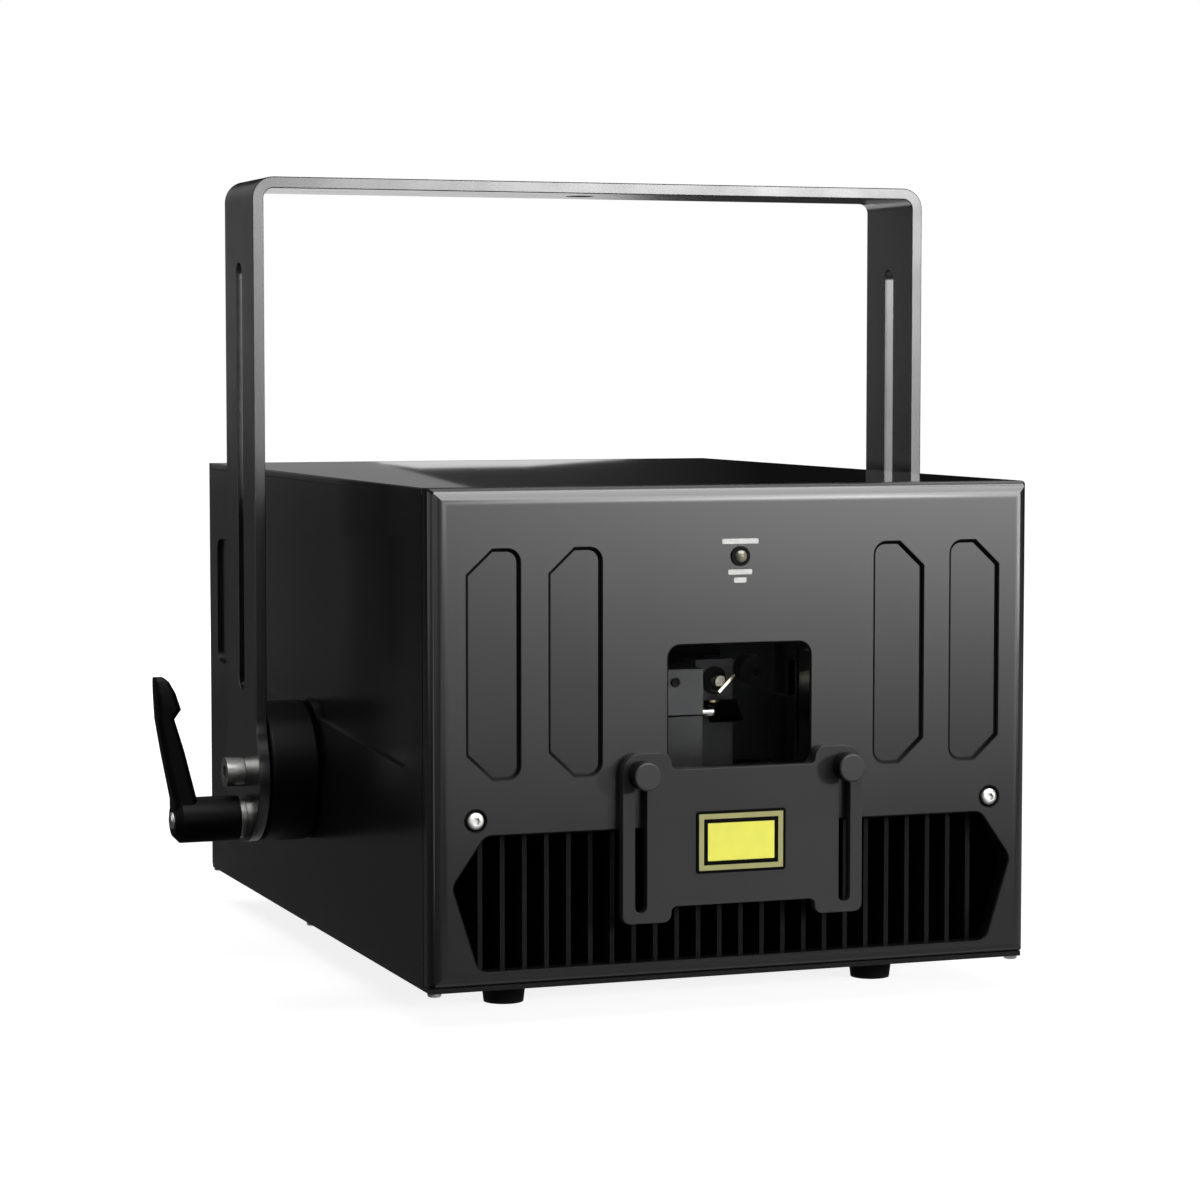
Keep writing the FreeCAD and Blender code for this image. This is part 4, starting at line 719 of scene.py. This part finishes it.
class PROJECTOR_OT_make_screws(bpy.types.Operator):
    """Put button-head screws with hexagonal keys in the places of the CAD screws"""
    bl_idname = "projector.make_screws"
    bl_label = "Make screws"

    def execute(self, context):
        kinds = (
            ("front_screws", "front_buttons", 0.0023, 0.0020, 0.0014, 0.0015),
            ("cover_screws", "cover_buttons", 0.0016, 0.0015, 0.0010, 0.0010),
            ("foot_screws", "foot_buttons", 0.0026, 0.0020, 0.0015, 0.0016),
            ("eye_screws", "eye_buttons", 0.0028, 0.0025, 0.0018, 0.0017),
            ("lever_screw_left", "lever_button_left", 0.0040, 0.0025, 0.0018, 0.0020),
            ("lever_screw_right", "lever_button_right", 0.0040, 0.0025, 0.0018, 0.0020))
        for node, name, height, shank, key_flat, key_depth in kinds:
            grids = [lying_screw(points, height, shank, key_flat, key_depth) for points in solids(node)]
            mesh = closed_surfaces(name, np.stack(grids))
            metal = "screw" if node == "front_screws" else "steel"
            piece = add_piece(name, mesh, body_of(node), "steel", metal)
            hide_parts(node)
        return {"FINISHED"}


class PROJECTOR_OT_make_blank_plate(bpy.types.Operator):
    """Put a plain lined plate on the mask"""
    bl_idname = "projector.make_blank_plate"
    bl_label = "Make blank plate"

    def execute(self, context):
        size = sizes()
        low, high = corners_of("mask_plate")
        middle = (low[0] + high[0]) / 2 + size.blank_shift
        seat = np.array([middle, low[1], size.blank_low + size.blank_height / 2])
        thickness = 0.0004
        edge = 0.0001
        corner = 0.0012
        insets = np.cumsum([0.0, 0.0, edge, size.blank_line, size.blank_band, size.blank_inner])
        levels = (0.0, thickness - edge, thickness, thickness, thickness, thickness)
        outlines = [rounded_outline(size.blank_width - 2 * inset, size.blank_height - 2 * inset,
                                    max(corner - inset, edge)) for inset in insets]
        grid = set_out(stacked(outlines, levels), seat, facing_front)
        mesh = closed_surfaces("blank_plate", grid[None])
        count = grid.shape[1]
        bands = np.repeat([0, 0, 0, 1, 0, 0, 2], count)
        mesh.polygons.foreach_set("material_index", bands.astype(np.int32))
        add_piece("blank_plate", mesh, body_of("mask_plate"), "housing", "line", "band", "ground")
        return {"FINISHED"}


class PROJECTOR_OT_make_lamp_marks(bpy.types.Operator):
    """Print plain dashes above and below the lamp"""
    bl_idname = "projector.make_lamp_marks"
    bl_label = "Make lamp marks"

    def execute(self, context):
        height = sizes().mark_height
        low, high = corners_of("lamp_bezel")
        middle = (low + high) / 2
        face = corners_of("front_plate")[0][1]
        thickness = 0.00008
        rises_and_widths = ((0.0060, 0.0158), (-0.0064, 0.0104), (-0.0097, 0.0054))
        grids = []
        for rise, width in rises_and_widths:
            outline = rounded_outline(width, height, height / 4, 3)
            place = np.array([middle[0], face, middle[2] + rise])
            grids.append(set_out(stacked([outline, outline], [0.0, thickness]), place, facing_front))
        mesh = closed_surfaces("lamp_marks", np.stack(grids))
        add_piece("lamp_marks", mesh, body_of("front_plate"), "housing", "mark")
        return {"FINISHED"}


class PROJECTOR_OT_make_rear_trim(bpy.types.Operator):
    """Add contacts and posts to the signal connectors and screws to the socket flanges"""
    bl_idname = "projector.make_rear_trim"
    bl_label = "Make rear trim"

    def execute(self, context):
        body = body_of("signal_sockets")
        shells = [(points.min(axis=0), points.max(axis=0)) for points in solids("signal_sockets")]
        faces = np.array([(low + high) / 2 for low, high in shells])
        faces[:, 1] = [high[1] for low, high in shells]

        insert_width, insert_height, insert_corner, insert_rise = 0.0362, 0.0060, 0.0012, 0.0002
        slant = 0.06
        outline = rounded_outline(insert_width, insert_height, insert_corner)
        outline[:, 0] *= 1 - slant * (0.5 - outline[:, 1] / insert_height)
        insert = stacked([outline, outline], [0.0, insert_rise])
        add_copies("signal_inserts", insert, faces, body, "black_plastic", "plastic")

        pitch = sizes().contact_pitch
        row_rise = pitch * 0.51
        rows = ((13, row_rise), (12, -row_rise))
        offsets = np.array([((place - (count - 1) / 2) * pitch, insert_rise, rise)
                            for count, rise in rows for place in range(count)])
        contact = turned_rings([0.0006, 0.0006, 0.0004], [0.0, 0.0002, 0.00035], round_turn(12))
        places = (faces[:, None, :] + offsets).reshape(-1, 3)
        add_copies("signal_contacts", contact, places, body, "brass", "brass")

        post_flat, post_bore, post_spread, flange_thickness = 0.0024, 0.0013, 0.02352, 0.0012
        post_wall, post_top, post_floor, post_taper = 0.0040, 0.0044, 0.0014, 0.92
        turn = round_turn(24)
        wall = hexagon(turn, post_flat)
        bore = np.full(len(turn), post_bore)
        post = turned_rings(np.stack([wall, wall, wall * post_taper, bore, bore]),
                            [0.0, post_wall, post_top, post_top, post_floor], turn)
        places = (faces[:, None, :] + np.array([(-post_spread, 0, 0), (post_spread, 0, 0)])).reshape(-1, 3)
        places[:, 1] = flange_thickness + corners_of("rear_panel")[1][1]
        add_copies("signal_posts", post, places, body, "steel", "steel")

        head = screw_head(radius=0.0021, height=0.0009, key_flat=0.0008, key_depth=0.0006)
        screw_inset = 0.0035
        places = []
        for node in ("power_inlet", "power_outlet", "data_socket", "network_socket", "interlock_socket"):
            low, high = corners_of(node)
            middle = (low + high) / 2
            reach = (high - low) / 2 - screw_inset
            for side in (-1, 1):
                places.append((middle[0] + side * reach[0], high[1], middle[2] + side * reach[2]))
        add_copies("socket_buttons", head, np.array(places), body_of("power_inlet"), "steel", "steel")
        return {"FINISHED"}


class PROJECTOR_OT_make_stage(bpy.types.Operator):
    """Make the floor, light and camera"""
    bl_idname = "projector.make_stage"
    bl_label = "Make stage"

    def execute(self, context):
        make_floor()
        make_world()
        make_lights()
        make_cards()
        make_camera()
        return {"FINISHED"}


class PROJECTOR_PT_looks(bpy.types.Panel):
    """Lists the steps of the looks"""
    bl_idname = "PROJECTOR_PT_looks"
    bl_label = "Projector"
    bl_space_type = "VIEW_3D"
    bl_region_type = "UI"
    bl_category = "Projector"

    def draw(self, context):
        for step in steps:
            self.layout.operator(step.bl_idname)
        for group in (colours(), sizes(), studio()):
            box = self.layout.box()
            for name in group.__annotations__:
                box.prop(group, name)


# Stage

def seen_ray(tree):
    """One where a ray comes from the camera, a gloss or a clear pane, and nothing elsewhere."""
    path = tree.nodes.new("ShaderNodeLightPath")
    total = path.outputs["Is Camera Ray"]
    for name in ("Is Glossy Ray", "Is Transmission Ray"):
        node = tree.nodes.new("ShaderNodeMath")
        node.operation = "MAXIMUM"
        tree.links.new(total, node.inputs[0])
        tree.links.new(path.outputs[name], node.inputs[1])
        total = node.outputs[0]
    return total


def stage_plane(name, corners):
    """A flat stage object."""
    mesh = bpy.data.meshes.new(name)
    mesh.from_pydata(corners, [], [tuple(range(len(corners)))])
    plane = bpy.data.objects.new(name, mesh)
    bpy.context.scene.collection.objects.link(plane)
    return plane


def glowing(name, strength):
    """A plain grey glow."""
    material = bpy.data.materials.new(name)
    material.use_nodes = True
    tree = material.node_tree
    tree.nodes.clear()
    output = tree.nodes.new("ShaderNodeOutputMaterial")
    glow = tree.nodes.new("ShaderNodeEmission")
    glow.inputs["Strength"].default_value = strength
    tree.links.new(glow.outputs[0], output.inputs["Surface"])
    return material, tree, glow, output


def make_floor():
    """A pale floor that keeps the shadow and reads as white."""
    reach = 8.0
    floor = stage_plane("floor", level_card(0.0, (-reach, reach), (-reach, reach)))
    material, tree, glow, output = glowing("pale_floor", 1.0)
    place = tree.nodes.new("ShaderNodeTexCoord")
    distance = tree.nodes.new("ShaderNodeVectorMath")
    distance.operation = "LENGTH"
    tree.links.new(place.outputs["Object"], distance.inputs[0])
    away = ((0.0, 0.86), (0.6, 0.86), (1.6, 1.0), (reach, 1.0))
    tree.links.new(ramp(tree, distance.outputs["Value"], away), glow.inputs["Strength"])
    matt = tree.nodes.new("ShaderNodeBsdfDiffuse")
    matt.inputs["Color"].default_value = (0.40, 0.40, 0.40, 1.0)
    both = tree.nodes.new("ShaderNodeAddShader")
    choice = tree.nodes.new("ShaderNodeMixShader")
    tree.links.new(matt.outputs[0], both.inputs[0])
    tree.links.new(glow.outputs[0], both.inputs[1])
    tree.links.new(seen_ray(tree), choice.inputs[0])
    tree.links.new(matt.outputs[0], choice.inputs[1])
    tree.links.new(both.outputs[0], choice.inputs[2])
    tree.links.new(choice.outputs[0], output.inputs["Surface"])
    floor.data.materials.append(material)


def make_world():
    """A white world for what the camera, gloss and glass see, and a plain fill for the rest."""
    world = bpy.data.worlds.new("studio")
    bpy.context.scene.world = world
    world.use_nodes = True
    tree = world.node_tree
    back = tree.nodes["Background"]
    node = tree.nodes.new("ShaderNodeMix")
    node.data_type = "FLOAT"
    node.inputs["A"].default_value = studio().fill
    node.inputs["B"].default_value = 1.0
    tree.links.new(seen_ray(tree), node.inputs["Factor"])
    tree.links.new(node.outputs["Result"], back.inputs["Strength"])
    back.inputs["Color"].default_value = (1.0, 1.0, 1.0, 1.0)


def make_lights():
    """A low box at the right, whose shadows fall to the left, a weaker one nearer the camera, a soft one
    overhead and one behind. They light matt surfaces, and the cards give the gloss."""
    light = studio()
    front = (0.0, -0.2, 0.12)
    boxes = (
        ("key_box", (1.25, -1.63, 0.40), 0.16, light.key, front),
        ("near_box", (0.66, -1.6, 0.62), 0.28, light.near, front),
        ("top_box", (0.3, -0.5, 1.9), 1.4, light.top, (0.3, -0.5, 0.0)),
        ("back_box", (-0.3, 2.0, 0.9), 0.6, light.back, (0.0, 0.2, 0.12)))
    for name, place, size, watts, target in boxes:
        lamp = bpy.data.lights.new(name, "AREA")
        lamp.size = size
        lamp.energy = watts
        holder = bpy.data.objects.new(name, lamp)
        holder.location = place
        holder.rotation_euler = (Vector(target) - Vector(place)).to_track_quat("-Z", "Y").to_euler()
        holder.visible_camera = False
        holder.visible_glossy = False
        bpy.context.scene.collection.objects.link(holder)


def graded(name, strength, stops_along):
    """A glow that changes along the named axes, if any."""
    material, tree, glow = glowing(name, strength)[:3]
    if not stops_along:
        return material
    place = tree.nodes.new("ShaderNodeTexCoord")
    parts = tree.nodes.new("ShaderNodeSeparateXYZ")
    tree.links.new(place.outputs["Object"], parts.inputs[0])
    product = tree.nodes.new("ShaderNodeValue").outputs[0]
    product.default_value = strength
    for axis, stops in stops_along.items():
        node = tree.nodes.new("ShaderNodeMath")
        node.operation = "MULTIPLY"
        tree.links.new(product, node.inputs[0])
        tree.links.new(ramp(tree, parts.outputs[axis], stops), node.inputs[1])
        product = node.outputs[0]
    tree.links.new(product, glow.inputs["Strength"])
    return material


def upright_card(y, x_span, z_span):
    """Corners of a card that stands across the view."""
    (x0, x1), (z0, z1) = x_span, z_span
    return [(x0, y, z0), (x1, y, z0), (x1, y, z1), (x0, y, z1)]


def level_card(z, x_span, y_span):
    """Corners of a card that lies level."""
    (x0, x1), (y0, y1) = x_span, y_span
    return [(x0, y0, z), (x1, y0, z), (x1, y1, z), (x0, y1, z)]


def side_card(x, y_span, z_span):
    """Corners of a card that stands along the view."""
    (y0, y1), (z0, z1) = y_span, z_span
    return [(x, y0, z0), (x, y1, z0), (x, y1, z1), (x, y0, z1)]


def make_cards():
    """Cards that only gloss sees: bright graded ones in front, dark ones at the sides and grey ones behind
    the top. Each has a strength, and shares of it along an axis where it is graded."""
    sheen = studio().sheen
    floor_z, over_z = 0.001, 1.3
    front_y, rear_y, far_y = -1.5, 1.3, 3.0
    left_x, right_x = -1.7, 1.6
    front_left_x, front_right_x, front_top_z = -0.05, 1.05, 0.6
    case_x, gap_x, step_z = -0.14, -0.53, 0.17
    strip_z, strip_top_z = 0.29, 0.36
    across = ((front_left_x, 0.0), (0.1, 0.35), (0.25, 0.42), (0.55, 0.80), (0.85, 1.0), (0.95, 0.9),
              (front_right_x, 0.0))
    rise = ((0.0, 0.06), (0.05, 0.08), (0.11, 0.145), (0.16, 0.30), (0.24, 0.22), (0.32, 0.25),
            (0.37, 0.46), (0.42, 1.0), (front_top_z, 1.0))
    aside = ((front_left_x, 0.33), (0.25, 0.38), (0.55, 0.42), (0.9, 0.5), (right_x, 0.5))
    ahead = ((front_y, 1.0), (-1.2, 0.75), (-0.6, 0.03), (-0.35, 0.03), (-0.2, 0.25), (0.25, 0.25))
    beside = ((0.0, 0.25), (0.1, 0.5), (0.2, 0.75), (1.3, 0.75))
    higher = ((step_z, 0.15), (0.26, 0.30), (1.6, 0.30))
    below = ((1.05, 1.0), (1.2, 0.05), (2.8, 0.05))
    fading = ((0.77, 0.04), (1.05, 0.03), (1.35, 0.005), (2.8, 0.005))
    left_strip = ((-0.3, strip_z), (0.738, strip_z), (0.99, strip_top_z), (-0.3, strip_top_z))
    fade_strip = ((0.77, 0.299), (0.84, 0.309), (1.0, 0.308), (1.14, 0.299), (1.2, strip_z), (2.8, strip_z),
                  (2.8, strip_top_z), (0.77, strip_top_z))
    floor_wedge = ((0.14, 0.3), (2.8, 0.3), (2.8, far_y), (1.155, far_y))
    cards = (
        ("front_card", sheen, {"X": across, "Z": rise},
         upright_card(front_y, (front_left_x, front_right_x), (0.0, front_top_z))),
        ("rim_card", sheen, {"X": aside},
         upright_card(front_y, (front_left_x, right_x), (front_top_z, 1.3))),
        ("rim_card_right", sheen * 0.4, {},
         upright_card(front_y, (front_right_x, right_x), (0.25, front_top_z))),
        ("floor_card_front", 1.2, {"Y": ahead}, level_card(floor_z, (case_x, 1.4), (front_y, 0.25))),
        ("floor_card_left", 0.07, {}, level_card(floor_z, (-1.6, case_x), (-0.2, rear_y))),
        ("over_card", 8.0, {}, level_card(over_z, (-0.6, 1.4), (-1.7, 0.1))),
        ("right_card", 0.0, {}, side_card(right_x, (-1.6, 1.5), (0.0, 1.6))),
        ("left_card_front", 1.4, {}, side_card(left_x, (-1.7, -0.7), (0.0, 1.3))),
        ("left_card_side", 1.0, {"Z": beside}, side_card(left_x, (-0.7, 0.3), (0.0, 1.3))),
        ("left_card_gap", 1.0, {"Z": beside}, upright_card(front_y, (left_x, front_left_x), (0.0, 1.1))),
        ("floor_card_corner", 0.15, {}, level_card(floor_z, (left_x, case_x), (front_y, -0.2))),
        ("left_card_far", 0.0, {}, upright_card(rear_y, (left_x, gap_x), (0.0, 1.6))),
        ("left_card_near", 0.11, {}, upright_card(rear_y, (gap_x, case_x), (0.0, step_z))),
        ("left_card_high", 1.0, {"Z": higher}, upright_card(rear_y, (gap_x, case_x), (step_z, 1.6))),
        ("back_card_low", 1.0, {"X": below}, upright_card(far_y, (-0.5, 2.8), (0.0, strip_z))),
        ("back_card_left", 0.23, {}, [(x, far_y - 0.05, z) for x, z in left_strip]),
        ("back_card_fade", 1.0, {"X": fading}, [(x, far_y, z) for x, z in fade_strip]),
        ("floor_card_back", 0.04, {}, [(x, y, floor_z) for x, y in floor_wedge]),
        ("back_card_strip", 0.72, {}, upright_card(far_y + 0.1, (-0.5, 2.9), (0.285, 0.37))),
        ("back_card_high", 0.0, {}, upright_card(far_y, (-0.3, 2.8), (strip_top_z, 1.8))))
    linked = {
        "rim_card": ("INCLUDE", "front_panel"),
        "rim_card_right": ("INCLUDE", "front_panel"),
        "left_card_front": ("INCLUDE", "front_panel"),
        "front_card": ("EXCLUDE", "top_panel"),
        "over_card": ("EXCLUDE", "top_panel", "yoke_bar")}
    for name, strength, stops_along, corners in cards:
        card = stage_plane(name, corners)
        card.data.materials.append(graded(name, strength, stops_along))
        card.visible_camera = False
        card.visible_diffuse = False
        card.visible_shadow = False
        card.visible_transmission = False
        if name in linked:
            state, *pieces = linked[name]
            viewers = bpy.data.collections.new(name + "_viewers")
            for piece in pieces:
                viewers.objects.link(bpy.data.objects[piece])
            for entry in viewers.collection_objects:
                entry.light_linking.link_state = state
            card.light_linking.receiver_collection = viewers


def make_camera():
    """The photo's viewpoint."""
    lens = bpy.data.cameras.new("camera")
    lens.lens = studio().lens
    lens.sensor_width = 36.0
    camera = bpy.data.objects.new("camera", lens)
    camera.location = (-0.5197, -1.45505, 0.2627)
    camera.rotation_euler = (math.radians(86.0), 0.0, math.radians(-20.05))
    bpy.context.scene.collection.objects.link(camera)
    bpy.context.scene.camera = camera
    bpy.context.scene.view_settings.view_transform = "Standard"


# Registration

groups = {"projector_colours": ProjectorColours, "projector_sizes": ProjectorSizes,
          "projector_studio": ProjectorStudio}
steps = (PROJECTOR_OT_finish_nodes, PROJECTOR_OT_soften_housing, PROJECTOR_OT_soften_mask,
         PROJECTOR_OT_soften_yoke, PROJECTOR_OT_soften_scanner, PROJECTOR_OT_make_screws,
         PROJECTOR_OT_make_blank_plate, PROJECTOR_OT_make_lamp_marks, PROJECTOR_OT_make_rear_trim,
         PROJECTOR_OT_make_stage)


def register():
    """Registers the groups, operators and panel."""
    for name, group in groups.items():
        bpy.utils.register_class(group)
        setattr(bpy.types.Scene, name, bpy.props.PointerProperty(type=group))
    for item in steps:
        bpy.utils.register_class(item)
    bpy.utils.register_class(PROJECTOR_PT_looks)


def unregister():
    """Takes the groups, operators and panel away again."""
    bpy.utils.unregister_class(PROJECTOR_PT_looks)
    for item in reversed(steps):
        bpy.utils.unregister_class(item)
    for name, group in groups.items():
        delattr(bpy.types.Scene, name)
        bpy.utils.unregister_class(group)


def main():
    """Runs every step."""
    register()
    for step in steps:
        getattr(bpy.ops.projector, step.bl_idname.split(".")[1])()


if __name__ == "__main__":
    main()
